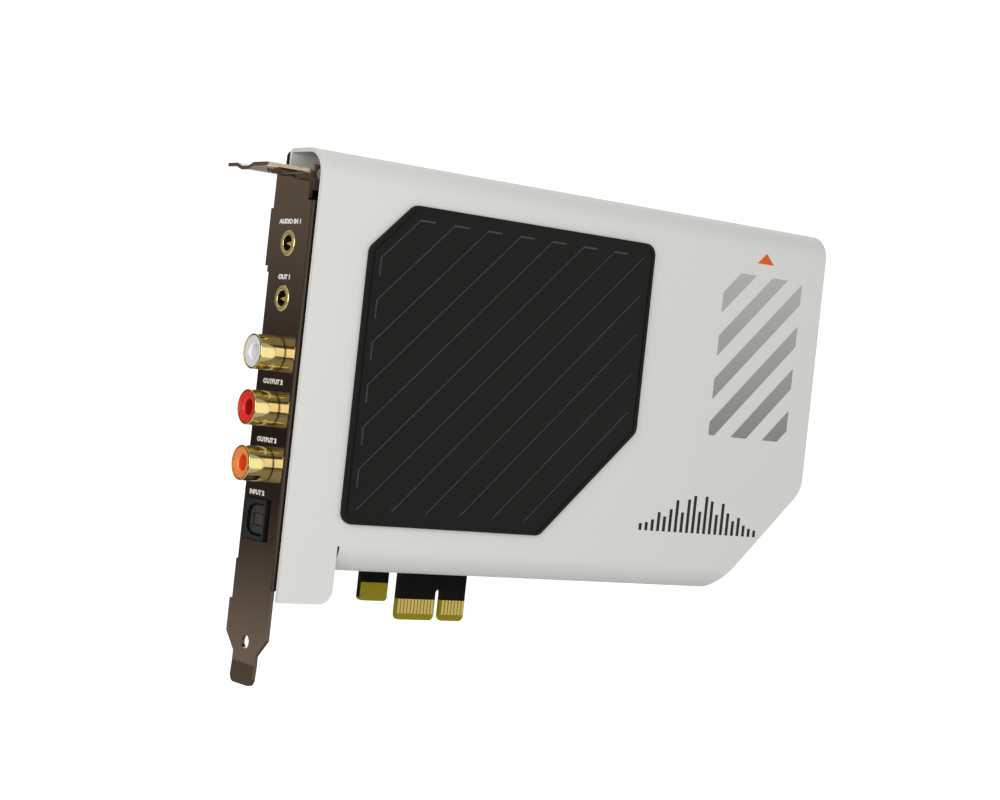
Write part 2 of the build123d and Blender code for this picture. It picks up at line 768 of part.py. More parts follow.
# Optical shutter: a thin moulded flap with a round hub along its hinged edge, a pin at each end of the hub
# and a shallow recessed panel on its front.
with BuildPart() as optical_shutter:
    with BuildSketch(Plane.YZ.offset(shutter_front_x)):
        with Locations((shutter_axis_y, optical_z)):
            Rectangle(shutter_end_y - shutter_axis_y, 2 * shutter_half, align=(Align.MIN, Align.CENTER))
    extrude(amount=shutter_thickness)
    with BuildSketch(Plane.XY.offset(optical_z - shutter_half)):
        with Locations((shutter_axis_x, shutter_axis_y)):
            Circle(shutter_hub_radius)
    extrude(amount=2 * shutter_half)
    pin_half = shutter_half + shutter_pin_length
    with BuildSketch(Plane.XY.offset(optical_z - pin_half)):
        with Locations((shutter_axis_x, shutter_axis_y)):
            Circle(shutter_pin_radius)
    extrude(amount=2 * pin_half)
    with BuildSketch(Plane.YZ.offset(shutter_front_x)):
        with Locations((optical_axis_y, optical_z)):
            Rectangle(shutter_panel_depth, shutter_panel_height)
    extrude(amount=shutter_panel_recess, mode=Mode.SUBTRACT)
write(optical_shutter, "optical_shutter")

# Shutter spring: a bronze leaf that lies in a pocket of the housing's wall and leans on the shutter's back.
shutter_back_x = shutter_front_x + shutter_thickness
spring_foot_x = shutter_back_x + spring_thickness + spring_length
with BuildPart() as optical_spring:
    with BuildSketch(Plane.XY.offset(optical_z - spring_width / 2)):
        bent_strip(
            [
                (cavity_end_x, pocket_y + spring_thickness),
                (spring_foot_x, pocket_y + spring_thickness),
                (shutter_back_x + spring_thickness, shutter_axis_y + spring_reach),
            ],
            [0],
            spring_thickness,
        )
    extrude(amount=spring_width)
write(optical_spring, "optical_spring")

# Optical receiver: the light detector behind the housing, with its lens in the housing's back wall.
with BuildPart() as optical_receiver:
    with BuildSketch(Plane.YZ.offset(housing_end_x)):
        with Locations((optical_axis_y, optical_z)):
            Rectangle(receiver_size, receiver_size)
    extrude(amount=optical_back_wall)
    with BuildSketch(Plane.YZ.offset(housing_end_x - receiver_lens_reach)):
        with Locations((optical_axis_y, optical_z)):
            Circle(receiver_lens_radius)
    extrude(amount=receiver_lens_reach)
write(optical_receiver, "optical_receiver")

# Shroud: one sheet of white coated aluminium, bent into a channel over the board. Top and bottom end in a
# flange against the board. The front wall runs down past the bottom bend as a flat foot beside the bracket.
rear_y = board_front
with BuildPart() as shroud:
    with BuildSketch(Plane.YZ.offset(slit_right)):
        bent_strip(
            [
                (rear_y, shroud_top - shroud_sheet - return_height),
                (rear_y, shroud_top),
                (shroud_front, shroud_top),
                (shroud_front, shroud_bottom),
                (rear_y, shroud_bottom),
                (rear_y, shroud_bottom + shroud_sheet + return_height),
            ],
            [return_bend_radius, roll_radius, roll_radius, return_bend_radius],
            shroud_sheet,
        )
    extrude(amount=shroud_right - slit_right)
    with BuildSketch(Plane.YZ.offset(shroud_left)):
        bent_strip(
            [
                (rear_y, shroud_top - shroud_sheet - return_height),
                (rear_y, shroud_top),
                (shroud_front, shroud_top),
                (shroud_front, slit_top),
            ],
            [return_bend_radius, roll_radius],
            shroud_sheet,
        )
    extrude(amount=slit_right - shroud_left)
    with BuildSketch(front_face) as foot:
        with Locations((shroud_left, foot_bottom)):
            Rectangle(foot_width, slit_top - foot_bottom, align=(Align.MIN, Align.MIN))
        fillet(foot.vertices().group_by(Axis.X)[-1].sort_by(Axis.Y)[0], foot_corner_radius)
    extrude(amount=-shroud_sheet)
    with BuildSketch(front_face):
        with Locations(((slit_left + slit_right) / 2, slit_top)):
            Circle(slit_width / 2)
    extrude(amount=-shroud_sheet, mode=Mode.SUBTRACT)
    with BuildSketch(front_face) as keep:
        cut_foot_x = shroud_right - corner_cut - (shroud_bottom - foot_bottom)
        Polygon(
            (shroud_left, foot_bottom),
            (cut_foot_x, foot_bottom),
            (shroud_right, shroud_bottom + corner_cut),
            (shroud_right, shroud_top),
            (shroud_left, shroud_top),
            align=None,
        )
        fillet(keep.vertices().group_by(Axis.X)[-1].sort_by(Axis.Y)[0], corner_cut_radius)
    extrude(amount=shroud_front - rear_y, mode=Mode.INTERSECT)
    with BuildSketch(front_face):
        with Locations(*standoff_places):
            Circle(standoff_stub_radius)
    extrude(amount=-shroud_sheet, mode=Mode.SUBTRACT)
    with BuildSketch(board_face):
        with Locations(*flange_places):
            Circle(nut_stub_radius)
    extrude(amount=shroud_sheet, mode=Mode.SUBTRACT)
write(shroud, "shroud")

# Panel: a black moulding stuck on the shroud, with two cut corners, a groove inside its rim and diagonal
# grooves that hook along the edges of its field.
with BuildPart() as front_panel:
    with BuildSketch(front_face) as panel_outline:
        Polygon(
            (panel_left, panel_bottom),
            (panel_right - panel_bottom_cut, panel_bottom),
            (panel_right, panel_bottom + panel_bottom_cut),
            (panel_right, panel_top),
            (panel_left + panel_top_cut, panel_top),
            (panel_left, panel_top - panel_top_cut),
            align=None,
        )
        fillet(panel_outline.vertices(), panel_corner_radius)
    extrude(amount=panel_thickness)
    panel_top_plane = front_face.offset(panel_thickness)
    with BuildSketch(panel_top_plane):
        add(panel_outline.sketch_local)
        offset(amount=-rim_width)
        offset(amount=-rim_groove_width, mode=Mode.SUBTRACT)
    extrude(amount=-rim_groove_depth, mode=Mode.SUBTRACT)
    field_left = panel_left + field_margin
    field_right = panel_right - field_margin
    field_low = panel_bottom + field_margin
    field_high = panel_top - field_margin
    with BuildSketch(panel_top_plane):
        for place in range(groove_count):
            rise = groove_first - place * groove_step
            start_z = max(field_left + rise, field_low)
            end_x = min(field_high - rise, field_right)
            points = [(start_z - rise, start_z), (end_x, end_x + rise)]
            if start_z - groove_hook > field_low:
                points.insert(0, (field_left, start_z - groove_hook))
            if end_x + groove_hook < field_right:
                points.append((end_x + groove_hook, field_high))
            with BuildLine():
                groove_line = Polyline(*points)
            trace(groove_line, line_width=groove_width)
    extrude(amount=-groove_depth, mode=Mode.SUBTRACT)
write(front_panel, "front_panel")

# Foil stripes: six bands of metallic film, cut off by one upright rectangle.
stripe_span = stripes_right - stripes_left
with BuildPart() as foil_stripes:
    with BuildSketch(front_face):
        for place in range(stripe_count):
            low = stripes_left + stripe_first - place * stripe_step
            Polygon(
                (stripes_left, low),
                (stripes_right, low + stripe_span),
                (stripes_right, low + stripe_span + stripe_height),
                (stripes_left, low + stripe_height),
                align=None,
            )
        with Locations((stripes_left, stripes_bottom)):
            Rectangle(
                stripe_span, stripes_top - stripes_bottom, align=(Align.MIN, Align.MIN), mode=Mode.INTERSECT
            )
    extrude(amount=foil_thickness)
write(foil_stripes, "foil_stripes")

# Marker triangle: a small orange film triangle above the stripes.
with BuildPart() as marker_triangle:
    with BuildSketch(front_face):
        Polygon(
            (marker_x - marker_width / 2, marker_foot),
            (marker_x + marker_width / 2, marker_foot),
            (marker_x, marker_foot + marker_height),
            align=None,
        )
    extrude(amount=foil_thickness)
write(marker_triangle, "marker_triangle")

# Standoffs: hexagon pillars clinched into the shroud's front wall, under the panel, that carry the board.
with BuildPart() as standoffs:
    with BuildSketch(board_face):
        with Locations(*standoff_places):
            RegularPolygon(standoff_width / 2, 6, major_radius=False)
    extrude(amount=standoff_length)
    with BuildSketch(front_face):
        with Locations(*standoff_places):
            Circle(standoff_stub_radius)
    extrude(amount=-shroud_sheet)
    with BuildSketch(board_face):
        with Locations(*standoff_places):
            Circle(screw_radius + screw_thread_gap)
    extrude(amount=screw_length, mode=Mode.SUBTRACT)
write(standoffs, "standoffs")

# Flange nuts: clinch nuts in the shroud's two flanges.
with BuildPart() as flange_nuts:
    with BuildSketch(board_face):
        with Locations(*flange_places):
            Circle(nut_stub_radius)
    extrude(amount=shroud_sheet)
    with BuildSketch(board_face.offset(shroud_sheet)):
        with Locations(*flange_places):
            RegularPolygon(nut_width / 2, 6, major_radius=False)
    extrude(amount=nut_height)
    with BuildSketch(board_face):
        with Locations(*flange_places):
            Circle(screw_radius + screw_thread_gap)
    extrude(amount=shroud_sheet + nut_height, mode=Mode.SUBTRACT)
write(flange_nuts, "flange_nuts")

# Board screws: pan head screws from the solder side into the standoffs and the flange nuts.
for name, places, reach in (
    ("standoff_screws", standoff_places, screw_length - screw_thread_gap),
    ("flange_screws", flange_places, shroud_sheet + nut_height),
):
    with BuildPart() as screws:
        with BuildSketch(board_rear):
            with Locations(*places):
                Circle(screw_radius)
        extrude(amount=board_thickness + reach)
        with BuildSketch(board_rear):
            with Locations(*places):
                Circle(screw_head_radius)
        extrude(amount=-screw_head_height)
        fillet(screws.edges().filter_by(GeomType.CIRCLE).group_by(Axis.Y)[-1], screw_head_height / 3)
        with BuildSketch(board_rear.offset(-screw_head_height)):
            with Locations(*places):
                Rectangle(recess_length, recess_width)
                Rectangle(recess_width, recess_length)
        extrude(amount=recess_depth, mode=Mode.SUBTRACT)
    write(screws, name)

# Chips: moulded packages that stand off the board on a pad, with gull wing leads. Each entry gives the
# package's width, height along the board and thickness, how many leads it has along its width and along its
# height, their pitch, and the places of its copies.
lead_width = 0.4
lead_reach = 1.0
lead_thickness = 0.15
chip_standoff = 0.1
processor_size = 17.0
processor_thickness = 1.4
processor_x = 8.0
processor_z = 48.0
converter_x = -14.0
dac_size = 10.0
dac_thickness = 1.4
dac_z = 62.0
adc_size = 7.0
adc_thickness = 1.2
adc_z = 79.0
converter_lead_pitch = 0.5
amp_width = 6.4
amp_height = 5.0
amp_thickness = 1.2
amp_lead_pitch = 0.65
amp_x = -25.5
amp_z = 78.0
op_amp_width = 4.9
op_amp_height = 3.9
op_amp_thickness = 1.5
small_lead_pitch = 1.27
op_amp_x = -36.5
op_amp_low = 42.0
op_amp_step = 7.0
op_amp_high = 82.0
flash_size = 5.2
flash_thickness = 1.8
flash_x = 25.0
op_amp_places = [(op_amp_x, op_amp_low + op_amp_step * row) for row in range(4)] + [(op_amp_x, op_amp_high)]
processor_package = (processor_size, processor_size, processor_thickness)
dac_package = (dac_size, dac_size, dac_thickness)
adc_package = (adc_size, adc_size, adc_thickness)
amp_package = (amp_width, amp_height, amp_thickness)
op_amp_package = (op_amp_width, op_amp_height, op_amp_thickness)
flash_package = (flash_size, flash_size, flash_thickness)
chips = {
    "audio_processor": (processor_package, 0, 0, 0, [(processor_x, processor_z)]),
    "dac_chip": (dac_package, 16, 16, converter_lead_pitch, [(converter_x, dac_z)]),
    "adc_chip": (adc_package, 10, 10, converter_lead_pitch, [(converter_x, adc_z)]),
    "headphone_amp": (amp_package, 8, 0, amp_lead_pitch, [(amp_x, amp_z)]),
    "op_amps": (op_amp_package, 4, 0, small_lead_pitch, op_amp_places),
    "flash_memory": (flash_package, 4, 0, small_lead_pitch, [(flash_x, processor_z)]),
}
for name, (size, leads_across, leads_up, lead_pitch, places) in chips.items():
    width, height, thickness = size
    lead_level = chip_standoff + thickness / 2
    alongs_across = [(row - (leads_across - 1) / 2) * lead_pitch for row in range(leads_across)]
    alongs_up = [(row - (leads_up - 1) / 2) * lead_pitch for row in range(leads_up)]
    lead_places = [(x + d, z + s * height / 2) for x, z in places for d in alongs_across for s in (-1, 1)]
    side_places = [(x + s * width / 2, z + d) for x, z in places for d in alongs_up for s in (-1, 1)]
    with BuildPart() as chip:
        with BuildSketch(board_face.offset(chip_standoff)):
            with Locations(*places):
                Rectangle(width, height)
        extrude(amount=thickness)
        with BuildSketch(board_face):
            with Locations(*places):
                Rectangle(width / 2, height / 2)
        extrude(amount=chip_standoff)
        for reach, level in ((lead_thickness, lead_level), (lead_reach, lead_thickness)):
            if not lead_places:
                continue
            with BuildSketch(board_face):
                with Locations(*lead_places):
                    Rectangle(lead_width, 2 * reach)
                if side_places:
                    with Locations(*side_places):
                        Rectangle(2 * reach, lead_width)
            extrude(amount=level)
    write(chip, name)

# Electrolytic capacitors: aluminium cans on plastic bases, in two sizes.
can_base_height = 1.2
can_top_radius = 0.5
large_can_radius = 4.0
large_can_height = 11.5
large_can_left = 2.0
large_can_low = 63.0
large_can_step = 10.0
large_can_rise = 10.5
small_can_radius = 2.5
small_can_height = 7.5
small_can_left = -19.0
small_can_low = 91.0
small_can_step = 7.0
large_can_places = [
    (large_can_left + column * large_can_step, large_can_low + row * large_can_rise)
    for column in range(3)
    for row in range(3)
]
small_can_places = [
    (small_can_left + column * small_can_step, small_can_low + row * small_can_step)
    for column in range(3)
    for row in range(2)
]
cans = {
    "large_electrolytics": (large_can_radius, large_can_height, large_can_places),
    "small_electrolytics": (small_can_radius, small_can_height, small_can_places),
}
for name, (radius, height, places) in cans.items():
    with BuildPart() as can:
        with BuildSketch(board_face):
            with Locations(*places):
                Rectangle(2 * radius, 2 * radius)
        extrude(amount=can_base_height)
        with BuildSketch(board_face.offset(can_base_height)):
            with Locations(*places):
                Circle(radius)
        extrude(amount=height - can_base_height)
        fillet(can.edges().filter_by(GeomType.CIRCLE).group_by(Axis.Y)[0], can_top_radius)
    write(can, name)

# Box-shaped parts: film capacitors, relays, inductors, oscillators, regulators and the small chip parts, each
# given as width, height along the board and thickness.
film_width = 7.2
film_height = 2.5
film_thickness = 6.5
film_x = -27.5
film_low = 42.0
film_step = 3.5
relay_width = 15.0
relay_height = 7.5
relay_thickness = 9.0
relay_gap = 1.2
relay_right_x = 12.0
relay_z = 98.0
inductor_size = 7.0
inductor_thickness = 4.0
inductor_left = 24.0
inductor_step = 9.5
inductor_z = 38.0
oscillator_width = 5.0
oscillator_height = 3.2
oscillator_thickness = 1.3
oscillator_x = -6.0
oscillator_low = 44.0
oscillator_step = 7.0
bus_width = 1.0
bus_height = 0.5
bus_left = 2.0
bus_step = 1.5
bus_z = 21.0
small_width = 1.6
small_height = 0.8
ceramic_left = 60.0
ceramic_low = 74.0
ceramic_step = 6.0
ceramic_rise = 8.0
resistor_thickness = 0.45
resistor_left = 52.0
resistor_low = 52.0
resistor_step = 5.0
relay_left_x = jack_body_x + jack_body_length + relay_gap + relay_width / 2
relay_places = [(relay_left_x, relay_z), (relay_right_x, relay_z)]
film_places = [(film_x, film_low + film_step * row) for row in range(8)]
inductor_places = [(inductor_left + inductor_step * column, inductor_z) for column in range(3)]
oscillator_places = [(oscillator_x, oscillator_low + oscillator_step * row) for row in range(2)]
bus_places = [(bus_left + bus_step * column, bus_z) for column in range(4)]
ceramic_places = [
    (ceramic_left + ceramic_step * column, ceramic_low + ceramic_rise * row)
    for column in range(5)
    for row in range(3)
]
resistor_places = [
    (resistor_left + resistor_step * column, resistor_low + resistor_step * row)
    for column in range(6)
    for row in range(3)
]
blocks = {
    "film_capacitors": ((film_width, film_height, film_thickness), film_places),
    "relays": ((relay_width, relay_height, relay_thickness), relay_places),
    "inductors": ((inductor_size, inductor_size, inductor_thickness), inductor_places),
    "clock_oscillators": ((oscillator_width, oscillator_height, oscillator_thickness), oscillator_places),
    "bus_capacitors": ((bus_width, bus_height, bus_height), bus_places),
    "ceramic_capacitors": ((small_width, small_height, small_height), ceramic_places),
    "resistors": ((small_width, small_height, resistor_thickness), resistor_places),
}
for name, (size, places) in blocks.items():
    width, height, thickness = size
    with BuildPart() as block:
        with BuildSketch(board_face):
            with Locations(*places):
                Rectangle(width, height)
        extrude(amount=thickness)
    write(block, name)

# Regulators: plastic packages on a metal tab that is soldered to the board.
regulator_z = 28.0
regulator_places = [(inductor_left + inductor_step * column, regulator_z) for column in range(3)]
regulator_width = 6.5
regulator_height = 6.0
regulator_thickness = 2.3
regulator_tab_width = 5.2
regulator_tab_height = 8.6
regulator_tab_thickness = 0.5
with BuildPart() as regulators:
    with BuildSketch(board_face):
        with Locations(*regulator_places):
            Rectangle(regulator_width, regulator_height)
    extrude(amount=regulator_thickness)
    with BuildSketch(board_face):
        with Locations(*regulator_places):
            Rectangle(regulator_tab_width, regulator_tab_height)
    extrude(amount=regulator_tab_thickness)
write(regulators, "regulators")

# Front panel header: a right-angled box header whose mouth faces the card's free end, with two rows of pins.
header_z = 54.0
header_length = 18.3
header_depth = 8.9
header_height = 8.9
header_wall = 1.1
header_back_wall = 2.0
header_key_width = 4.5
pin_pitch = 2.54
pin_width = 0.64
pin_columns = 5
pin_gap = 0.03
pin_tip_setback = 1.0
pin_tail_setback = 1.5
header_right = board_right - board_inset
header_left = header_right - header_depth
header_centre = header_height / 2
header_mouth_depth = header_depth - header_back_wall
header_top_plane = board_face.offset(header_height)
pin_levels = [header_centre - pin_pitch / 2, header_centre + pin_pitch / 2]
pin_zs = [header_z + (column - (pin_columns - 1) / 2) * pin_pitch for column in range(pin_columns)]
pin_places = [(board_front - level, z) for level in pin_levels for z in pin_zs]
with BuildPart() as panel_header:
    with BuildSketch(board_face):
        with Locations((header_left, header_z)):
            Rectangle(header_depth, header_length, align=(Align.MIN, Align.CENTER))
    extrude(amount=header_height)
    with BuildSketch(board_face.offset(header_wall)):
        with Locations((header_left + header_back_wall, header_z)):
            Rectangle(header_mouth_depth, header_length - 2 * header_wall, align=(Align.MIN, Align.CENTER))
    extrude(amount=header_height - 2 * header_wall, mode=Mode.SUBTRACT)
    with BuildSketch(header_top_plane):
        with Locations((header_left + header_back_wall, header_z)):
            Rectangle(header_mouth_depth, header_key_width, align=(Align.MIN, Align.CENTER))
    extrude(amount=-header_wall, mode=Mode.SUBTRACT)
    with BuildSketch(Plane.YZ.offset(header_left)):
        with Locations(*pin_places):
            Rectangle(pin_width + 2 * pin_gap, pin_width + 2 * pin_gap)
    extrude(amount=header_back_wall, mode=Mode.SUBTRACT)
write(panel_header, "panel_header")

# Header pins: square gold plated posts, bent down to the board behind the header.
with BuildPart() as header_pins:
    for row, level in enumerate(pin_levels):
        tail_x = header_left - pin_tail_setback - row * pin_pitch
        with BuildSketch(Plane.YZ.offset(tail_x)):
            with Locations(*[(board_front - level, z) for z in pin_zs]):
                Rectangle(pin_width, pin_width)
        extrude(amount=header_right - pin_tip_setback - tail_x)
        with BuildSketch(board_face):
            with Locations(*[(tail_x + pin_width / 2, z) for z in pin_zs]):
                Rectangle(pin_width, pin_width)
        extrude(amount=level + pin_width / 2)
write(header_pins, "header_pins")
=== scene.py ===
import bpy
import numpy as np
from mathutils import Matrix


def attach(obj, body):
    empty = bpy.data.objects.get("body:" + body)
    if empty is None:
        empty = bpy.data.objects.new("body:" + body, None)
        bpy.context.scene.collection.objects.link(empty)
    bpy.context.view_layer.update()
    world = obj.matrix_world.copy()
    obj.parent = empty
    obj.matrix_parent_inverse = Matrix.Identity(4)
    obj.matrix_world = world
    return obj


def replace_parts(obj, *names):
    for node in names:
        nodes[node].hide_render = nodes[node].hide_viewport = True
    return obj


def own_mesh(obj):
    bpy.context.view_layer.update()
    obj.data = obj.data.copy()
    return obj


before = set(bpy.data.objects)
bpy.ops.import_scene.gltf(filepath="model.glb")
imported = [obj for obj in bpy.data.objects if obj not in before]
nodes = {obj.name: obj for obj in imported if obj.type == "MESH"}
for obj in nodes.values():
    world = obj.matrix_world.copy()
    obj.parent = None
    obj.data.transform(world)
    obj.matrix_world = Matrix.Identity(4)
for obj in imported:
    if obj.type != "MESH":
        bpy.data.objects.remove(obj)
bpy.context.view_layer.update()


# Circuit board: glass laminate with copper under a black solder mask. The mask ends above the edge contacts
# and on the retention tab, where bare laminate shows, and the routed edges show the laminate's layers.
class Signal:
    """An output of a material's node. Sums and comparisons with it add Math nodes to the same material."""

    def __init__(self, tree, socket=None):
        self.tree = tree
        self.socket = socket

    def node(self, kind, settings=None, sockets=None, output=0):
        """Add one node: its settings first, then a value or a signal for each of its sockets."""
        made = self.tree.nodes.new("ShaderNode" + kind)
        for name, value in (settings or {}).items():
            if name == "stops":
                for index, (position, colour) in enumerate(value):
                    ramp = made.color_ramp.elements
                    stop = ramp[index] if index < 2 else ramp.new(position)
                    stop.position = position
                    stop.color = colour
            else:
                setattr(made, name, value)
        for name, value in (sockets or {}).items():
            if isinstance(value, Signal):
                self.tree.links.new(value.socket, made.inputs[name])
            else:
                made.inputs[name].default_value = value
        return Signal(self.tree, made.outputs[output] if made.outputs else None)

    def out(self, output):
        """Another output of the same node."""
        return Signal(self.tree, self.socket.node.outputs[output])

    def maths(self, operation, *terms):
        """A Math node on these terms."""
        return self.node("Math", {"operation": operation}, dict(enumerate(terms)))

    def mix(self, first, second):
        """The first colour where this signal is 0, the second where it is 1."""
        return self.node("Mix", {"data_type": "RGBA"}, {0: self, 6: first, 7: second}, output=2)

    def step(self, low, high):
        """0 below low, 1 above high, with a smooth change between them."""
        settings = {"interpolation_type": "SMOOTHSTEP"}
        return self.node("MapRange", settings, {"Value": self, "From Min": low, "From Max": high})

    def __add__(self, other):
        return self.maths("ADD", self, other)

    def __sub__(self, other):
        return self.maths("SUBTRACT", self, other)

    def __rsub__(self, other):
        return self.maths("SUBTRACT", other, self)

    def __mul__(self, other):
        return self.maths("MULTIPLY", self, other)

    def __truediv__(self, other):
        return self.maths("DIVIDE", self, other)

    def __mod__(self, other):
        return self.maths("FLOORED_MODULO", self, other)

    def __gt__(self, other):
        return self.maths("GREATER_THAN", self, other)

    def __lt__(self, other):
        return self.maths("LESS_THAN", self, other)

    def __or__(self, other):
        return self.maths("MAXIMUM", self, other)

    def __and__(self, other):
        return self.maths("MINIMUM", self, other)

    def __abs__(self):
        return self.maths("ABSOLUTE", self)

    __radd__ = __add__
    __rmul__ = __mul__


def finish(name, paint):
    """A new material. Paint takes the place on the object in millimetres, as a vector and as its three
    parts, and returns what goes to each socket of the Principled shader."""
    material = bpy.data.materials.new(name)
    material.use_nodes = True
    material.node_tree.nodes.clear()
    start = Signal(material.node_tree)
    place = start.node(
        "Mapping", {}, {"Vector": start.node("TexCoord", output="Object"), "Scale": (1000, 1000, 1000)}
    )
    x = place.node("SeparateXYZ", {}, {"Vector": place})
    shader = start.node("BsdfPrincipled", {}, paint(place, x, x.out("Y"), x.out("Z")))
    start.node("OutputMaterial", {}, {"Surface": shader})
    return material


def noise(place, scale, detail=2.0):
    """Smooth random value near 0.5, with so many swings to the millimetre."""
    return place.node("TexNoise", {}, {"Vector": place, "Scale": scale, "Detail": detail})


def relief(height, depth):
    """Normals tilted as if the surface rose by depth, in millimetres, where the height signal is 1."""
    return height.node("Bump", {}, {"Height": height, "Distance": depth / 1000})


def dress(material, *names):
    """Give the named solids this material in place of their plain one."""
    for name in names:
        mesh = nodes[name].data
        mesh.materials.clear()
        mesh.materials.append(material)


MASK_FOOT = 5.2
CONNECTOR_X = -2.0
CONNECTOR_HALF = 10.6
TAB_X = -19.455
TAB_HALF = 4.3
TAB_TOP = 8.9
LEADS_TOP = 12.5
LEADS_HALF = 10.1
LEAD_PITCH = 1.0
LEAD_HALF = 0.22
EDGE_HALF = 0.78
MASK_BLACK = (0.0022, 0.0022, 0.0024, 1)
MASK_COPPER = (0.0042, 0.0042, 0.0042, 1)
LAMINATE = (0.37, 0.298, 0.020, 1)
LAMINATE_DARK = (0.28, 0.222, 0.013, 1)
ROUTED_EDGE = (0.022, 0.019, 0.012, 1)


def solder_mask(place, x, y, z):
    """Black mask that shows the copper under it, bare laminate at the foot and dark routed edges."""
    along = abs(x - CONNECTOR_X)
    connector = (z < MASK_FOOT) & (along < CONNECTOR_HALF)
    tab = (z < TAB_TOP) & (abs(x - TAB_X) < TAB_HALF)
    bare = connector | tab
    weave = place.node("TexChecker", {}, {"Vector": place, "Scale": 2.2}, output=1)
    lead = abs(x % LEAD_PITCH - LEAD_PITCH / 2) < LEAD_HALF
    leads = lead & (z < LEADS_TOP) & (along < LEADS_HALF)
    pour = noise(place, 0.16, 1.0).step(0.47, 0.53) | leads
    cloth = (noise(place, 1.2, 4.0) * 0.7 + weave * 0.3).mix(LAMINATE_DARK, LAMINATE)
    coated = pour.mix(MASK_BLACK, MASK_COPPER)
    faces = bare.mix(coated, cloth)
    edge = abs(y) < EDGE_HALF
    return {
        "Base Color": (edge & (z > MASK_FOOT)).mix(faces, ROUTED_EDGE),
        "Roughness": 0.26 + 0.16 * bare + 0.3 * edge + 0.35 * (y < 0) + 0.06 * noise(place, 0.5),
        "Normal": relief(weave * 0.35 + pour * 2.0 + noise(place, 6.0), 0.004),
        "Specular IOR Level": 0.075,
    }


dress(finish("black_solder_mask", solder_mask), "circuit_board")

# Edge contacts: copper strips at the board's foot, plated with nickel and hard gold. The slot's springs have
# left faint lines down them.
CONTACT_GOLD = (0.57, 0.45, 0.155, 1)
CONTACT_WORN = (0.47, 0.36, 0.105, 1)


def stretched(place, scales):
    """The place on the object, scaled along X, Y and Z so that a noise on it is drawn out."""
    return place.node("Mapping", {}, {"Vector": place, "Scale": scales})


def contact_gold(place, x, y, z):
    """Gold with wear in upright lines."""
    wear = noise(stretched(place, (6, 6, 0.4)), 1.0)
    return {
        "Base Color": wear.step(0.35, 0.65).mix(CONTACT_GOLD, CONTACT_WORN),
        "Metallic": 0.85,
        "Roughness": 0.30 + 0.12 * wear,
        "Normal": relief(wear, 0.002),
    }


dress(finish("hard_gold", contact_gold), "edge_contacts")

# Tracks on the back of the board: etched copper under the mask in parallel runs with bends of 45 degrees.
# Each run ends in a plated via that the mask covers, and bare gold test points stand beside some of them.
BOARD_BACK = 0.785
TRACK_RISE = 0.05
TRACK_WIDTH = 0.36
TRACK_PITCH = 0.78
TRACK_RUNS = [
    (8, [(-7, 15), (-7, 28), (-1, 34), (-1, 44)]),
    (4, [(3, 54), (-5, 54), (-11, 60), (-11, 68)]),
    (5, [(-12, 73), (-21, 73), (-25, 77), (-43, 77)]),
    (4, [(-21, 95), (-14, 95), (-4, 85), (-4, 74)]),
    (5, [(88, 48), (70, 48), (58, 36), (28, 36)]),
    (6, [(86, 88), (62, 88), (48, 74), (28, 74)]),
    (3, [(84, 101), (30, 101), (23, 94), (23, 82)]),
    (5, [(79, 24), (44, 24), (38, 30), (18, 30)]),
    (6, [(-44, 22), (-27, 22), (-17, 32), (-17, 45)]),
    (4, [(-42, 82), (-25, 82), (-18, 89), (-15, 89)]),
    (4, [(78, 66), (56, 66), (46, 56), (22, 56)]),
    (3, [(-44, 40), (-38, 40), (-35, 43), (-35, 66)]),
]
TRACK_PROFILE = np.array([(-0.5, 0.0), (-0.42, 1.0), (0.42, 1.0), (0.5, 0.0)])
VIA_PROFILE = [(0.37, 0.0), (0.34, 0.06), (0.21, 0.06), (0.14, 0.02)]
TEST_PROFILE = [(0.62, 0.0), (0.60, 0.04), (0.30, 0.04)]
TEST_SIDES = 16
COVERED_DARK = (0.009, 0.009, 0.0095, 1)
COVERED_LIGHT = (0.014, 0.014, 0.0145, 1)


def in_scene(name, data):
    """A new object in the scene for this mesh, lettering, lamp or lens."""
    made = bpy.data.objects.new(name, data)
    bpy.context.scene.collection.objects.link(made)
    return made


def piece(mesh, material):
    """A new piece at the origin that moves with the card and takes this material."""
    mesh.materials.clear()
    mesh.materials.append(material)
    made = in_scene(mesh.name, mesh)
    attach(made, "card")
    return made


def parallel(path, offsets):
    """Copies of a path of (X, Z) corners, each moved sideways by its offset and mitred at the corners."""
    path = np.array(path, float)
    runs = np.diff(path, axis=0)
    runs /= np.linalg.norm(runs, axis=1)[:, None]
    sides = np.column_stack((-runs[:, 1], runs[:, 0]))
    before = np.vstack((sides[:1], sides))
    after = np.vstack((sides, sides[-1:]))
    mitre = (before + after) / (1 + (before * after).sum(axis=1))[:, None]
    return path + np.multiply.outer(offsets, mitre)


def joined_grids(name, points, round_columns=False, round_rows=False, filled=False):
    """One mesh of many grids, from an array of (grid, row, column, 3) in millimetres. Round columns or
    rows join the last to the first, and a filled grid has a face across its last row."""
    copies, rows, columns = points.shape[:3]
    row_steps = np.arange(rows if round_rows else rows - 1)
    column_steps = np.arange(columns if round_columns else columns - 1)
    row, column = np.meshgrid(row_steps, column_steps, indexing="ij")
    below = row * columns
    above = (row + 1) % rows * columns
    ahead = (column + 1) % columns
    quads = np.stack((below + column, below + ahead, above + ahead, above + column), axis=-1).reshape(-1, 4)
    first = np.arange(copies)[:, None, None] * rows * columns
    faces = (first + quads).reshape(-1, 4).tolist()
    if filled:
        faces += (first[:, 0] + (rows - 1) * columns + np.arange(columns)).tolist()
    mesh = bpy.data.meshes.new(name)
    mesh.from_pydata((points.reshape(-1, 3) / 1000).tolist(), [], faces)
    return mesh


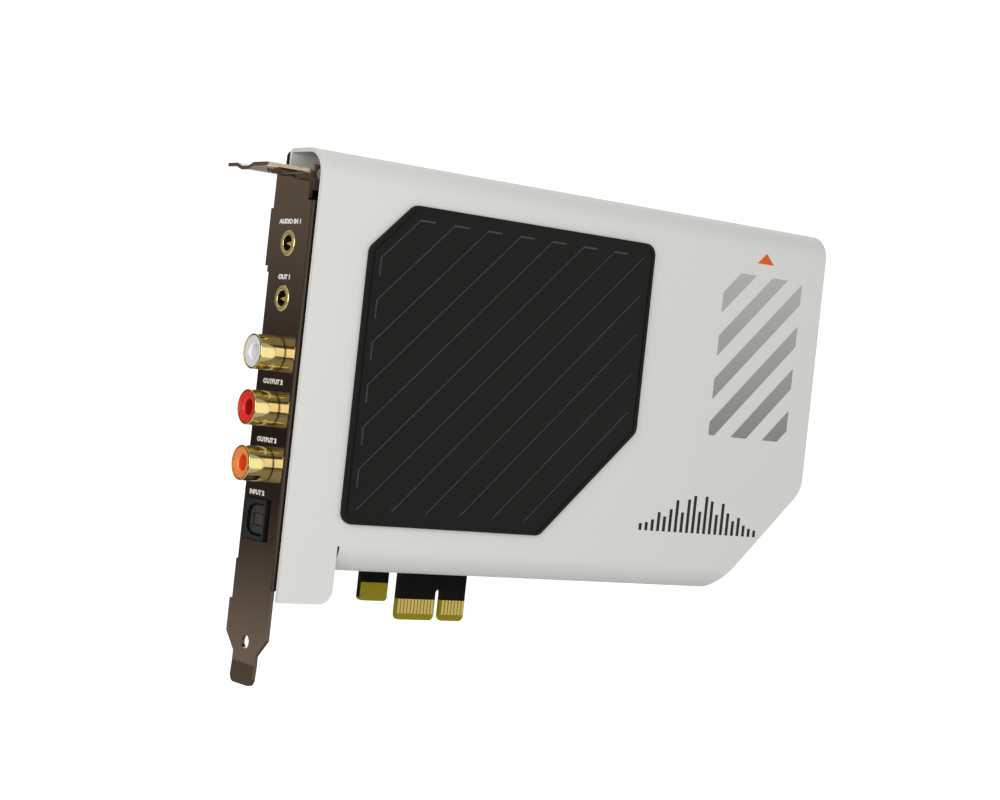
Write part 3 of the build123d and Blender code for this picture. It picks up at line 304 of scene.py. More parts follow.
def turned(name, profile, places, sides=12):
    """A profile of (radius, height above the board's back) turned about each (X, Z) place."""
    angle = -2 * np.pi * np.arange(sides) / sides
    profile = np.array(profile)
    places = np.array(places, float)
    points = np.empty((len(places), len(profile), sides, 3))
    points[..., 0] = places[:, 0, None, None] + profile[:, 0, None] * np.cos(angle)
    points[..., 1] = BOARD_BACK + profile[:, 1, None]
    points[..., 2] = places[:, 1, None, None] + profile[:, 0, None] * np.sin(angle)
    return joined_grids(name, points, round_columns=True, filled=True)


def masked_copper(place, x, y, z):
    """Mask over copper, a little lighter and smoother than on the bare laminate."""
    grain = noise(place, 4.0, 3.0)
    return {
        "Base Color": grain.mix(COVERED_DARK, COVERED_LIGHT),
        "Roughness": 0.22 + 0.10 * grain,
        "Normal": relief(grain, 0.003),
        "Specular IOR Level": 0.4,
    }


ribbons = []
via_places = []
for count, path in TRACK_RUNS:
    middles = TRACK_PITCH * np.arange(count)
    ends = parallel(path, middles)[:, [0, -1]]
    via_places.append(ends.reshape(-1, 2))
    edges = parallel(path, np.add.outer(middles, TRACK_WIDTH * TRACK_PROFILE[:, 0]).ravel())
    edges = edges.reshape(count, 4, len(path), 2).transpose(0, 2, 1, 3)
    ribbon = np.empty((count, len(path), 4, 3))
    ribbon[..., 0] = edges[..., 0]
    ribbon[..., 1] = BOARD_BACK + TRACK_RISE * TRACK_PROFILE[:, 1]
    ribbon[..., 2] = edges[..., 1]
    ribbons.append(ribbon)
via_places = np.concatenate(via_places)
mask_over_copper = finish("masked_copper", masked_copper)
piece(joined_grids("back_tracks", np.concatenate(ribbons)), mask_over_copper)
piece(turned("back_vias", VIA_PROFILE, via_places), mask_over_copper)
test_places = [(50 + 5 * column, 92 + 4 * row) for column in range(5) for row in range(2)]
test_places += [(-8 + 3 * column, 106) for column in range(6)]
test_places += [(68, 56), (72, 56), (76, 56), (30, 66), (34, 66)]
test_points = turned("test_points", TEST_PROFILE, test_places, TEST_SIDES)
piece(test_points, finish("test_gold", contact_gold))

# Chips: black epoxy moulded round a lead frame, with a rough mould finish and a pressed dot beside the first
# lead. The leads are tinned and soldered to the board.
EPOXY = (0.018, 0.018, 0.019, 1)
EPOXY_GREY = (0.027, 0.027, 0.028, 1)
TIN = (0.62, 0.61, 0.58, 1)
BODY_MARGIN = 0.01
DOT_INSET = 1.0
DOT_RADIUS = 0.447
OP_AMP_HEIGHTS = (42, 49, 56, 63, 82)
CHIP_PACKAGES = {
    "audio_processor": [(8, 48, 17, 17)],
    "dac_chip": [(-14, 62, 10, 10)],
    "adc_chip": [(-14, 79, 7, 7)],
    "headphone_amp": [(-25.5, 78, 6.4, 5)],
    "op_amps": [(-36.5, height, 4.9, 3.9) for height in OP_AMP_HEIGHTS],
    "flash_memory": [(25, 48, 5.2, 5.2)],
    "regulators": [(24 + 9.5 * column, 28, 6.5, 6) for column in range(3)],
}


def chip_finish(packages):
    """Epoxy inside each package's rectangle of (middle X, middle Z, width, height), and tin outside it."""

    def paint(place, x, y, z):
        body = None
        dot = None
        for middle_x, middle_z, width, height in packages:
            inside_x = abs(x - middle_x) < width / 2 + BODY_MARGIN
            inside = inside_x & (abs(z - middle_z) < height / 2 + BODY_MARGIN)
            dot_x = x - (middle_x - width / 2 + DOT_INSET)
            dot_z = z - (middle_z - height / 2 + DOT_INSET)
            mark = (dot_x * dot_x + dot_z * dot_z) < DOT_RADIUS ** 2
            body = inside if body is None else body | inside
            dot = mark if dot is None else dot | mark
        grain = noise(place, 9.0, 3.0)
        return {
            "Base Color": body.mix(TIN, (grain * 0.6 + dot * 0.4).mix(EPOXY, EPOXY_GREY)),
            "Metallic": 1 - body,
            "Roughness": 0.34 + 0.26 * body - 0.2 * dot,
            "Normal": relief(grain * 0.1 - dot, 0.04),
        }

    return paint


for chip, packages in CHIP_PACKAGES.items():
    dress(finish(chip + "_epoxy", chip_finish(packages)), chip)

# Electrolytic capacitors: drawn aluminium cans on black bases, with a printed black segment on the top that
# marks the negative lead.
BOARD_FRONT = -0.785
CAN_BASE = 1.2
CAN_ALUMINIUM = (0.62, 0.63, 0.64, 1)
CAN_SHADE = (0.5, 0.51, 0.53, 1)
CAN_BLACK = (0.012, 0.012, 0.013, 1)


def from_middle(x, first_x, pitch):
    """How far a place lies along X from the middle of its part, in a row from first_x at this pitch."""
    return (x - (first_x - pitch / 2)) % pitch - pitch / 2


def can_finish(first_x, pitch, radius, height):
    """Black base and marked segment on rows of cans that start at first_x and repeat at the pitch."""

    def paint(place, x, y, z):
        across = from_middle(x, first_x, pitch)
        base = y > BOARD_FRONT - CAN_BASE
        segment = (y < BOARD_FRONT - height + 0.02) & (across < -0.35 * radius)
        brushed = noise(stretched(place, (1, 8, 1)), 2.0)
        dark = base | segment
        return {
            "Base Color": dark.mix(brushed.mix(CAN_SHADE, CAN_ALUMINIUM), CAN_BLACK),
            "Metallic": 1 - dark,
            "Roughness": 0.3 + 0.2 * dark,
            "Normal": relief(brushed, 0.006),
        }

    return paint


large_can = can_finish(first_x=2, pitch=10, radius=4.0, height=11.5)
small_can = can_finish(first_x=-19, pitch=7, radius=2.5, height=7.5)
dress(finish("large_can_aluminium", large_can), "large_electrolytics")
dress(finish("small_can_aluminium", small_can), "small_electrolytics")

# Small chip parts: fired ceramic capacitors and glazed resistors. Each has a tinned cap at both ends, by
# which it is soldered flat on the board.
CERAMIC_LIGHT = (0.50, 0.36, 0.22, 1)
CERAMIC_DARK = (0.38, 0.26, 0.15, 1)
GLAZE_LIGHT = (0.03, 0.03, 0.032, 1)
GLAZE_DARK = (0.014, 0.014, 0.015, 1)


def end_capped(first_x, pitch, cap_start, light, dark):
    """A body between two colours, with tin beyond cap_start from the middle of each part along X."""

    def paint(place, x, y, z):
        cap = abs(from_middle(x, first_x, pitch)) > cap_start
        grain = noise(place, 3.0)
        return {
            "Base Color": cap.mix(grain.mix(dark, light), TIN),
            "Metallic": cap,
            "Roughness": 0.45 - 0.12 * cap,
            "Normal": relief(grain, 0.02),
        }

    return paint


ceramic = end_capped(60, 6, 0.5, CERAMIC_LIGHT, CERAMIC_DARK)
bus_ceramic = end_capped(2, 1.5, 0.3, CERAMIC_LIGHT, CERAMIC_DARK)
resistor_glaze = end_capped(52, 5, 0.5, GLAZE_LIGHT, GLAZE_DARK)
dress(finish("ceramic", ceramic), "ceramic_capacitors")
dress(finish("bus_ceramic", bus_ceramic), "bus_capacitors")
dress(finish("resistor_glaze", resistor_glaze), "resistors")

# Box parts: film capacitors, relays and inductors in moulded cases, and oscillators under plated lids. They
# stand on the front of the board.
FILM_LIGHT = (0.60, 0.055, 0.04, 1)
FILM_DARK = (0.48, 0.035, 0.03, 1)
RELAY_LIGHT = (0.80, 0.80, 0.77, 1)
RELAY_DARK = (0.70, 0.70, 0.66, 1)
FERRITE_LIGHT = (0.13, 0.13, 0.13, 1)
FERRITE_DARK = (0.08, 0.08, 0.085, 1)
LID_LIGHT = (0.66, 0.62, 0.52, 1)
LID_DARK = (0.55, 0.52, 0.44, 1)


def moulded(light, dark, roughness, grain_scale=5.0, depth=0.01, gloss=0.5):
    """A moulded case whose colour wanders slightly between light and dark, with a fine mould grain."""

    def paint(place, x, y, z):
        tone = noise(place, 0.35)
        grain = noise(place, grain_scale, 3.0)
        return {
            "Base Color": (tone * 0.7 + grain * 0.3).mix(dark, light),
            "Roughness": roughness - 0.05 + 0.1 * grain,
            "Normal": relief(grain, depth),
            "Specular IOR Level": gloss,
        }

    return paint


def plated(light, dark, roughness, grain_scale=4.0, depth=0.002):
    """Plated metal whose tone and gloss wander slightly, as plating and handling leave it."""

    def paint(place, x, y, z):
        tone = noise(place, 0.25)
        grain = noise(place, grain_scale, 3.0)
        return {
            "Base Color": (tone * 0.7 + grain * 0.3).mix(dark, light),
            "Metallic": 1.0,
            "Roughness": roughness + 0.35 * roughness * grain,
            "Normal": relief(grain, depth),
        }

    return paint


ferrite = moulded(FERRITE_LIGHT, FERRITE_DARK, 0.65, grain_scale=2.5, depth=0.03)
dress(finish("film_box", moulded(FILM_LIGHT, FILM_DARK, 0.35)), "film_capacitors")
dress(finish("relay_case", moulded(RELAY_LIGHT, RELAY_DARK, 0.40)), "relays")
dress(finish("ferrite", ferrite), "inductors")
dress(finish("oscillator_lid", plated(LID_LIGHT, LID_DARK, 0.28)), "clock_oscillators")

# Front panel header: a black moulded box with square gold plated pins, at the far end of the board, for the
# lead from the computer's own front panel.
BLACK_LIGHT = (0.030, 0.030, 0.030, 1)
BLACK_DARK = (0.018, 0.018, 0.018, 1)
GOLD_LIGHT = (0.84, 0.745, 0.365, 1)
GOLD_DEEP = (0.79, 0.665, 0.265, 1)
header_black = moulded(BLACK_LIGHT, BLACK_DARK, 0.48, grain_scale=7.0, depth=0.008)
black_moulding = finish("black_moulding", header_black)
gold_plate = finish("gold_plate", plated(GOLD_LIGHT, GOLD_DEEP, 0.075))
dress(black_moulding, "panel_header")
dress(gold_plate, "header_pins")

# Solder joints on the back: bright solder drawn up round the clipped leads of the box parts, the sockets and
# the header.
FILM_COLUMNS = (-30.0, -25.0)
FILM_ROWS = 42 + 3.5 * np.arange(8)
RELAY_COLUMNS = [middle + side for middle in (-33.5, 12) for side in (-5.7, -1.9, 1.9, 5.7)]
RELAY_ROWS = (98 - 2.54, 98 + 2.54)
HEADER_COLUMNS = (92.53, 95.07)
HEADER_ROWS = 54 + 2.54 * np.arange(-2, 3)
SOCKET_COLUMNS = (-44.6, -41.4)
SOCKET_ROWS = (23.0, 35.9, 48.8, 61.7, 74.6, 87.5)
JOINT_PROFILE = [
    (0.95, 0.0),
    (0.92, 0.07),
    (0.74, 0.15),
    (0.50, 0.34),
    (0.36, 0.62),
    (0.31, 0.92),
    (0.20, 1.0),
]
SOLDER_LIGHT = (0.72, 0.72, 0.70, 1)
SOLDER_DARK = (0.58, 0.58, 0.57, 1)


def smooth(mesh):
    """Shade all faces of a mesh as one smooth surface."""
    mesh.polygons.foreach_set("use_smooth", np.ones(len(mesh.polygons), bool))


lead_blocks = [
    (FILM_COLUMNS, FILM_ROWS),
    (RELAY_COLUMNS, RELAY_ROWS),
    (HEADER_COLUMNS, HEADER_ROWS),
    (SOCKET_COLUMNS, SOCKET_ROWS),
]
lead_places = [(x, z) for columns, rows in lead_blocks for x in columns for z in rows]
joints = turned("solder_joints", JOINT_PROFILE, lead_places)
smooth(joints)
bright_solder = plated(SOLDER_LIGHT, SOLDER_DARK, 0.20, grain_scale=2.0, depth=0.01)
piece(joints, finish("bright_solder", bright_solder))

# Jacks for 3.5 mm plugs: turned gold plated nose rings with a round lip, in black bodies with gold plated
# terminals. Each bore is painted black as the shade inside it, and the point of the gold tip spring lies
# along one side of it.
JACK_HEIGHTS = {1: 87.5, 2: 74.6}
JACK_AXIS_Y = -5.9
NOSE_RADIUS = 3.1
NOSE_SIDES = 72
BORE_RADIUS = 1.8
NOSE_BACK = -54.2
LIP_START = -57.05
LIP_REACH = 0.4
LIP_STEPS = 25
LIP_CREASE = np.radians(50)
BORE_SHADE_MARGIN = 0.06
TIP_SPRING_POINT = -56.45
TIP_SPRING_SPREAD = 0.5
# Painted shade: the nose's own inner wall is gold, painted black where the bore is dark.
BORE_SHADE = (0.004, 0.004, 0.004, 1)
SPRING_GOLD = (0.95, 0.62, 0.09, 1)
RING_GOLD = (1.0, 0.86, 0.40, 1)
RING_DEEP = (0.98, 0.76, 0.27, 1)


def jack_gold(height):
    """Polished ring, painted shade in the bore and gold spring point of the jack whose axis is at this
    height.
    """

    def paint(place, x, y, z):
        beside = y - JACK_AXIS_Y
        above = z - height
        bore = (beside * beside + above * above) < (BORE_RADIUS + BORE_SHADE_MARGIN) ** 2
        spring = bore & (abs(above) < TIP_SPRING_SPREAD * (x - TIP_SPRING_POINT))
        bore_shade = bore & (1 - spring)
        plate = noise(place, 0.3).mix(RING_DEEP, RING_GOLD)
        return {
            "Base Color": spring.mix(bore_shade.mix(plate, BORE_SHADE), SPRING_GOLD),
            "Metallic": 0.8 * (1 - bore),
            "Roughness": 0.13 + 0.34 * bore,
            "Normal": relief(noise(place, 4.0, 3.0), 0.002),
        }

    return paint


# The lip is half an ellipse from the bore's edge to the ring's edge, turned about the jack's axis.
turn = np.linspace(0, np.pi, LIP_STEPS)
lip_x = np.concatenate(([NOSE_BACK], LIP_START - LIP_REACH * np.sin(turn), [NOSE_BACK]))
lip_radius = (BORE_RADIUS + NOSE_RADIUS) / 2 - (NOSE_RADIUS - BORE_RADIUS) / 2 * np.cos(turn)
lip_radius = np.concatenate(([BORE_RADIUS], lip_radius, [NOSE_RADIUS]))
around = 2 * np.pi * np.arange(NOSE_SIDES) / NOSE_SIDES
for index, height in JACK_HEIGHTS.items():
    nose = np.empty((1, len(lip_x), NOSE_SIDES, 3))
    nose[..., 0] = lip_x[:, None]
    nose[..., 1] = JACK_AXIS_Y + lip_radius[:, None] * np.cos(around)
    nose[..., 2] = height + lip_radius[:, None] * np.sin(around)
    mesh = joined_grids(f"nose_ring_{index}", nose, round_columns=True, round_rows=True)
    smooth(mesh)
    mesh.set_sharp_from_angle(angle=LIP_CREASE)
    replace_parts(piece(mesh, finish(f"jack_gold_{index}", jack_gold(height))), f"jack_nose_{index}")
dress(gold_plate, "jack_contacts_1", "jack_contacts_2")
dress(black_moulding, "jack_body_1", "jack_body_2")

# Phono sockets: drawn and gold plated sleeves with the draw lines still faintly round them, coloured
# insulators, tubular centre contacts and black bodies. The shoulder in the bracket's hole is dark like it.
BRACKET_FACE = -57.15
BRACKET_DEEP = (0.42, 0.352, 0.276, 1)
SHOULDER_EDGE = BRACKET_FACE - 0.03
ROOT_EDGE = BRACKET_FACE - 0.18
# Painted shade: a dark ring at the sleeve's root, at the edge of the bracket's hole.
ROOT_SHADE = (0.02, 0.008, 0.003, 1)
INSULATOR_TIP = -63.2
HOLE_START = 0.18
HOLE_DEPTH = 0.45
# The third colour of each is painted shading down its hole: painted shade in the red and orange, painted
# light in the white.
INSULATORS = {
    1: ("white_insulator", (0.86, 0.86, 0.88, 1), (0.80, 0.80, 0.82, 1), (0.95, 0.95, 0.97, 1)),
    2: ("red_insulator", (0.90, 0.035, 0.030, 1), (0.80, 0.024, 0.022, 1), (0.50, 0.002, 0.004, 1)),
    3: ("orange_insulator", (1.0, 0.33, 0.09, 1), (0.98, 0.27, 0.06, 1), (0.92, 0.11, 0.008, 1)),
}


def drawn_gold(place, x, y, z):
    """Gold with fine rings round the sleeve, a painted shade line at its root and a plated shoulder behind
    it.
    """
    shoulder = x > SHOULDER_EDGE
    root_shade = (x > ROOT_EDGE) & (x < SHOULDER_EDGE)
    rings = noise(stretched(place, (1, 0.02, 0.02)), 9.0)
    tone = noise(place, 0.3)
    plate = (tone * 0.7 + rings * 0.3).mix(GOLD_DEEP, GOLD_LIGHT)
    return {
        "Base Color": root_shade.mix(shoulder.mix(plate, BRACKET_DEEP), ROOT_SHADE),
        "Metallic": 1.0,
        "Roughness": 0.10 + 0.05 * rings,
        "Normal": relief(rings, 0.0012),
    }


def insulator_finish(light, dark, hole_shading):
    """A moulded ring between two near colours, with a third down the hole in its middle as painted shading.
    """

    def paint(place, x, y, z):
        grain = noise(place, 6.0, 3.0)
        hole = (x - INSULATOR_TIP).step(HOLE_START, HOLE_DEPTH)
        return {
            "Base Color": hole.mix(grain.mix(dark, light), hole_shading),
            "Roughness": 0.30 + 0.1 * grain + 0.2 * hole,
            "Normal": relief(grain, 0.003),
        }

    return paint


sleeve_gold = finish("sleeve_gold", drawn_gold)
for index, (name, light, dark, hole_shading) in INSULATORS.items():
    dress(finish(name, insulator_finish(light, dark, hole_shading)), f"phono_insulator_{index}")
    dress(sleeve_gold, f"phono_sleeve_{index}", f"phono_contact_{index}")
    dress(black_moulding, f"phono_body_{index}")

# Optical input: a black moulded housing with a dull face, and painted shade in near-black along its border,
# on its sides and in its mouth. Behind the mouth are a smooth shutter with a sunk panel, a bronze leaf
# spring and the receiver.
OPTICAL_FACE = -57.75
OPTICAL_MIDDLE_Y = -5.185
OPTICAL_HEIGHT = 23.0
FACE_HALF_WIDTH = 4.58
FACE_HALF_HEIGHT = 4.68
SHUTTER_MIDDLE_Y = -5.36
SHUTTER_FRONT = -56.80
SUNK_HALF_WIDTH = 2.0
SUNK_HALF_HEIGHT = 1.28
RIM_SIDE = -2.75
RIM_HALF_HEIGHT = 3.25
SHUTTER_LIGHT = (0.056, 0.056, 0.054, 1)
SHUTTER_DARK = (0.044, 0.044, 0.042, 1)
SHUTTER_PANEL = (0.058, 0.058, 0.056, 1)
HOUSING_LIGHT = (0.032, 0.032, 0.030, 1)
HOUSING_DARK = (0.024, 0.024, 0.023, 1)
# Painted shade: the near-black on the housing's border, sides and mouth, and round the shutter's rim and
# step.
HOUSING_SHADE = (0.003, 0.003, 0.003, 1)
BRONZE_LIGHT = (0.66, 0.42, 0.20, 1)
BRONZE_DARK = (0.54, 0.33, 0.15, 1)


def optical_moulding(place, x, y, z):
    """A dull black face, and painted shade in near-black on its border and on all that lies behind it."""
    grain = noise(place, 8.0, 3.0)
    beside = abs(y - OPTICAL_MIDDLE_Y) > FACE_HALF_WIDTH
    border = beside | (abs(z - OPTICAL_HEIGHT) > FACE_HALF_HEIGHT)
    away = (x > OPTICAL_FACE + 0.02) | border
    return {
        "Base Color": away.mix(grain.mix(HOUSING_DARK, HOUSING_LIGHT), HOUSING_SHADE),
        "Roughness": 0.42 + 0.1 * grain + 0.3 * away,
        "Normal": relief(grain, 0.006),
        "Specular IOR Level": 0.22,
    }


def shutter_moulding(place, x, y, z):
    """A dark flap with painted shade in near-black round its rim and on the step of its sunk panel."""
    grain = noise(place, 8.0, 3.0)
    across = y - SHUTTER_MIDDLE_Y
    up = abs(z - OPTICAL_HEIGHT)
    panel = (x > SHUTTER_FRONT + 0.1) & (abs(across) < SUNK_HALF_WIDTH) & (up < SUNK_HALF_HEIGHT)
    rim = (up > RIM_HALF_HEIGHT) | (across < RIM_SIDE)
    step = (x > SHUTTER_FRONT + 0.02) & (1 - panel)
    flap = panel.mix(grain.mix(SHUTTER_DARK, SHUTTER_LIGHT), SHUTTER_PANEL)
    return {
        "Base Color": (step | rim).mix(flap, HOUSING_SHADE),
        "Roughness": 0.34 + 0.1 * grain,
        "Normal": relief(grain, 0.004),
    }


dress(finish("optical_moulding", optical_moulding), "optical_housing", "optical_receiver")
dress(finish("shutter_moulding", shutter_moulding), "optical_shutter")

# The leaf spring's line is flat in its pocket and then rises on an even slope, with a smooth start, to the
# back of the shutter. Its strip has four edges that close to a line at both ends.
SPRING_CLAMP = -43.05
SPRING_FOOT = -50.58
SPRING_TIP = -56.08
SPRING_FLAT = -9.815
SPRING_SLOPE = 0.345
SPRING_BEND = 0.5
SPRING_THICKNESS = 0.12
SPRING_HALF_WIDTH = 1.2
SPRING_STEPS = 60
along = np.linspace(SPRING_CLAMP, SPRING_TIP, SPRING_STEPS)
past = SPRING_FOOT - along
top = SPRING_FLAT + SPRING_SLOPE * (past + np.sqrt(past * past + SPRING_BEND ** 2)) / 2
half = np.pad(np.full(SPRING_STEPS, SPRING_THICKNESS / 2), 1)
middle = np.pad(top - SPRING_THICKNESS / 2, 1, mode="edge")
strip = np.empty((1, len(middle), 4, 3))
strip[0, :, :, 0] = np.pad(along, 1, mode="edge")[:, None]
strip[0, :, :, 1] = middle[:, None] + half[:, None] * np.array([1, 1, -1, -1])
strip[0, :, :, 2] = OPTICAL_HEIGHT + SPRING_HALF_WIDTH * np.array([1, -1, -1, 1])
bronze = finish("spring_bronze", plated(BRONZE_LIGHT, BRONZE_DARK, 0.24))
leaf = piece(joined_grids("leaf_spring", strip, round_columns=True), bronze)
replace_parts(leaf, "optical_spring")
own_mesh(leaf)

# Slot bracket: folded steel sheet under a smooth dark bronze plating that mirrors the sleeves in front of
# it. Painted shade makes the bends and flanges that face the shroud's side near black, the tongue below its
# bend is a darker bronze, and the plating is thin on the cut edges below the flanges.
FOLD_TOP = 98.0
FLANGE_FOOT = 7.45
TONGUE_LOW = -10.6
TONGUE_HIGH = -9.9
BRACKET_LIGHT = (0.46, 0.388, 0.308, 1)
# Painted shade for the bends and the flanges that face the shroud's side.
BRACKET_BEND_SHADE = (0.036, 0.029, 0.021, 1)
BRACKET_FLANGE_SHADE = (0.014, 0.011, 0.008, 1)
BRACKET_CUT = (0.11, 0.084, 0.058, 1)
BRACKET_TONGUE = (0.27, 0.22, 0.175, 1)


def dark_plating(place, x, y, z):
    """Bronze on the face and a darker bronze on the tongue, with painted shade where the sheet turns towards
    the shroud's side.
    """
    tone = noise(place, 0.25)
    smear = noise(place, 1.5, 3.0)
    facing = place.node("NewGeometry", output="True Normal")
    facing_near = 0 - facing.node("SeparateXYZ", {}, {"Vector": facing}).out("Y")
    folded_shade = facing_near.step(0.45, 0.55) & (z < FOLD_TOP)
    fold_shade = facing_near.step(0.88, 0.97).mix(BRACKET_BEND_SHADE, BRACKET_FLANGE_SHADE)
    tongue = 1 - z.step(TONGUE_LOW, TONGUE_HIGH)
    plate = tongue.mix(tone.mix(BRACKET_DEEP, BRACKET_LIGHT), BRACKET_TONGUE)
    return {
        "Base Color": folded_shade.mix(plate, (z < FLANGE_FOOT).mix(fold_shade, BRACKET_CUT)),
        "Metallic": 1.0,
        "Roughness": 0.05 + 0.03 * smear + 0.16 * folded_shade,
        "Normal": relief(smear, 0.0006),
    }


dress(finish("dark_plating", dark_plating), "bracket")

# Bracket labels: white ink printed on the plating above each socket, in plain block letters. The ink is a
# thin flat film just clear of the plating.
INK_GAP = 0.015
LABEL_HEIGHT = 1.2
LABEL_STRETCH = 1.3
LABEL_WEIGHT = 0.075
LABELS = [
    ("label_in_1", "AUDIO IN 1", JACK_AXIS_Y, 92.55),
    ("label_out_1", "OUT 1", JACK_AXIS_Y, 79.6),
    ("label_out_2", "OUTPUT 2", JACK_AXIS_Y, 55.2),
    ("label_out_3", "OUTPUT 3", JACK_AXIS_Y, 41.6),
    ("label_in_2", "INPUT 2", -4.1, 29.2),
]
WHITE_INK = (0.95, 0.95, 0.94, 1)
WHITE_INK_THIN = (0.86, 0.86, 0.85, 1)


def lettering(name, words):
    """A flat mesh of one line of block letters, and its corners, one unit high about their middle."""
    text = bpy.data.curves.new(name, "FONT")
    text.body = words
    text.align_x = "CENTER"
    text.align_y = "CENTER"
    text.offset = LABEL_WEIGHT
    holder = in_scene(name + "_text", text)
    flat = bpy.data.meshes.new_from_object(holder.evaluated_get(bpy.context.evaluated_depsgraph_get()))
    bpy.data.objects.remove(holder)
    corners = np.empty(len(flat.vertices) * 3)
    flat.vertices.foreach_get("co", corners)
    corners = corners.reshape(-1, 3)
    lowest = corners.min(axis=0)
    highest = corners.max(axis=0)
    return flat, (corners - (lowest + highest) / 2) / (highest[1] - lowest[1])


def white_ink_paint(place, x, y, z):
    """White ink, thinner in specks."""
    speck = noise(place, 7.0, 3.0)
    return {
        "Base Color": speck.mix(WHITE_INK_THIN, WHITE_INK),
        "Roughness": 0.5 + 0.1 * speck,
    }


white_ink = finish("white_ink", white_ink_paint)
for name, words, middle_y, middle_z in LABELS:
    mesh, letters = lettering(name, words)
    mesh.name = name
    placed = np.empty_like(letters)
    placed[:, 0] = BRACKET_FACE - INK_GAP
    placed[:, 1] = middle_y - letters[:, 0] * LABEL_HEIGHT * LABEL_STRETCH
    placed[:, 2] = middle_z + letters[:, 1] * LABEL_HEIGHT
    mesh.vertices.foreach_set("co", (placed / 1000).ravel())
    piece(mesh, white_ink)

# Screws, nuts, spacers and standoffs: turned and headed steel with a bright zinc plating. They hold the
# bracket and the shroud to the board.
ZINC_LIGHT = (0.66, 0.66, 0.64, 1)
ZINC_DARK = (0.54, 0.54, 0.53, 1)
zinc = finish("zinc_plate", plated(ZINC_LIGHT, ZINC_DARK, 0.22, grain_scale=3.0, depth=0.003))
dress(zinc, "bracket_screws", "bracket_nuts", "bracket_spacers")
dress(zinc, "standoffs", "standoff_screws", "flange_screws", "flange_nuts")

# Shroud: aluminium sheet, bent and then coated satin white. The coat has a fine orange peel, and the narrow
# relief slit at its lower edge is painted dark inside as shade.
COAT_LIGHT = (0.81, 0.817, 0.78, 1)
COAT_DEEP = (0.795, 0.802, 0.765, 1)
SLIT_LEFT = -41.26
SLIT_RIGHT = -40.69
SLIT_TOP = 18.7
# Painted shade inside the relief slit.
SLIT_SHADE = (0.02, 0.02, 0.02, 1)


def white_coat(place, x, y, z):
    """White with a faint drift of tone, and painted shade on the walls of the slit."""
    peel = noise(place, 1.6, 3.0)
    slit = (x > SLIT_LEFT) & (x < SLIT_RIGHT) & (z < SLIT_TOP)
    return {
        "Base Color": slit.mix(noise(place, 0.04).mix(COAT_DEEP, COAT_LIGHT), SLIT_SHADE),
        "Roughness": 0.40 + 0.08 * peel,
        "Normal": relief(peel, 0.0035),
    }


dress(finish("white_coat", white_coat), "shroud")

# Raised panel: a black moulding stuck on the shroud, with a soft matt grain. A groove runs inside its rim,
# with a painted highlight in it, and slanted grooves cross the field within, each with a painted highlight
# on one side and painted shade on the other.
GROOVE_TOP = -16.93
GROOVE_RISE = 124.9
GROOVE_STEP = 9.93
RIMMED = {"left": -41.0, "right": 44.1, "low": 24.6, "high": 99.4, "least_rise": 8.0, "most_rise": 129.3}
FIELD = {"left": -39.8, "right": 42.95, "low": 25.75, "high": 98.2, "least_rise": 9.65, "most_rise": 127.7}
PANEL_LIGHT = (0.0054, 0.0054, 0.0052, 1)
PANEL_DARK = (0.0042, 0.0042, 0.0040, 1)
# Painted highlight in the rim groove, and painted highlight and shade on the slanted grooves.
RIM_GROOVE_HIGHLIGHT = (0.014, 0.014, 0.0136, 1)
GROOVE_LIT = (0.075, 0.075, 0.073, 1)
GROOVE_SHADE = (0.004, 0.004, 0.004, 1)


def within(x, z, rise, outline):
    """1 inside a rectangle whose two corners are cut where the rise, Z less X, is least and most."""
    upright = (x > outline["left"]) & (x < outline["right"])
    level = (z > outline["low"]) & (z < outline["high"])
    return upright & level & (rise < outline["most_rise"]) & (rise > outline["least_rise"])


def black_panel(place, x, y, z):
    """Matt black, with a grey painted highlight on the groove inside the rim, and on each slanted groove a
    painted highlight on one side and painted shade on the other.
    """
    grain = noise(place, 5.0, 3.0)
    rise = z - x
    groove = (y > GROOVE_TOP) & within(x, z, rise, RIMMED)
    beside = (rise - GROOVE_RISE + GROOVE_STEP / 2) % GROOVE_STEP - GROOVE_STEP / 2
    lit_side = beside < 0.02
    lines = within(x, z, rise, FIELD).mix(RIM_GROOVE_HIGHLIGHT, lit_side.mix(GROOVE_SHADE, GROOVE_LIT))
    return {
        "Base Color": groove.mix(grain.mix(PANEL_DARK, PANEL_LIGHT), lines),
        "Roughness": 0.42 + 0.12 * grain + 0.1 * groove,
        "Normal": relief(grain, 0.006),
        "Specular IOR Level": 0.16,
    }


dress(finish("black_panel", black_panel), "front_panel")

# Foil stripes and marker: a metallic grey film with a painted reflection that darkens it downwards, and a
# solid orange triangle above it. Both are cut from sheet and stuck on the shroud.
FOIL_LOW = 53.06
FOIL_HEIGHT = 43.34
# A painted reflection: lighter at the top, darker at the foot.
FOIL_REFLECTION_TOP = (0.475, 0.475, 0.472, 1)
FOIL_REFLECTION_FOOT = (0.245, 0.245, 0.243, 1)
ORANGE_LIGHT = (0.93, 0.138, 0.004, 1)
ORANGE_DARK = (0.86, 0.120, 0.003, 1)


def silver_foil(place, x, y, z):
    """Grey with a painted reflection that fades from dark at the foot to light at the top, with a fine
    flake.
    """
    flake = noise(place, 12.0, 2.0)
    height = (z - FOIL_LOW) / FOIL_HEIGHT
    return {
        "Base Color": (height + 0.06 * flake).mix(FOIL_REFLECTION_FOOT, FOIL_REFLECTION_TOP),
        "Metallic": 0.25,
        "Roughness": 0.36 + 0.1 * flake,
        "Normal": relief(flake, 0.002),
    }


dress(finish("silver_foil", silver_foil), "foil_stripes")
dress(finish("orange_film", moulded(ORANGE_LIGHT, ORANGE_DARK, 0.45, gloss=0.12)), "marker_triangle")

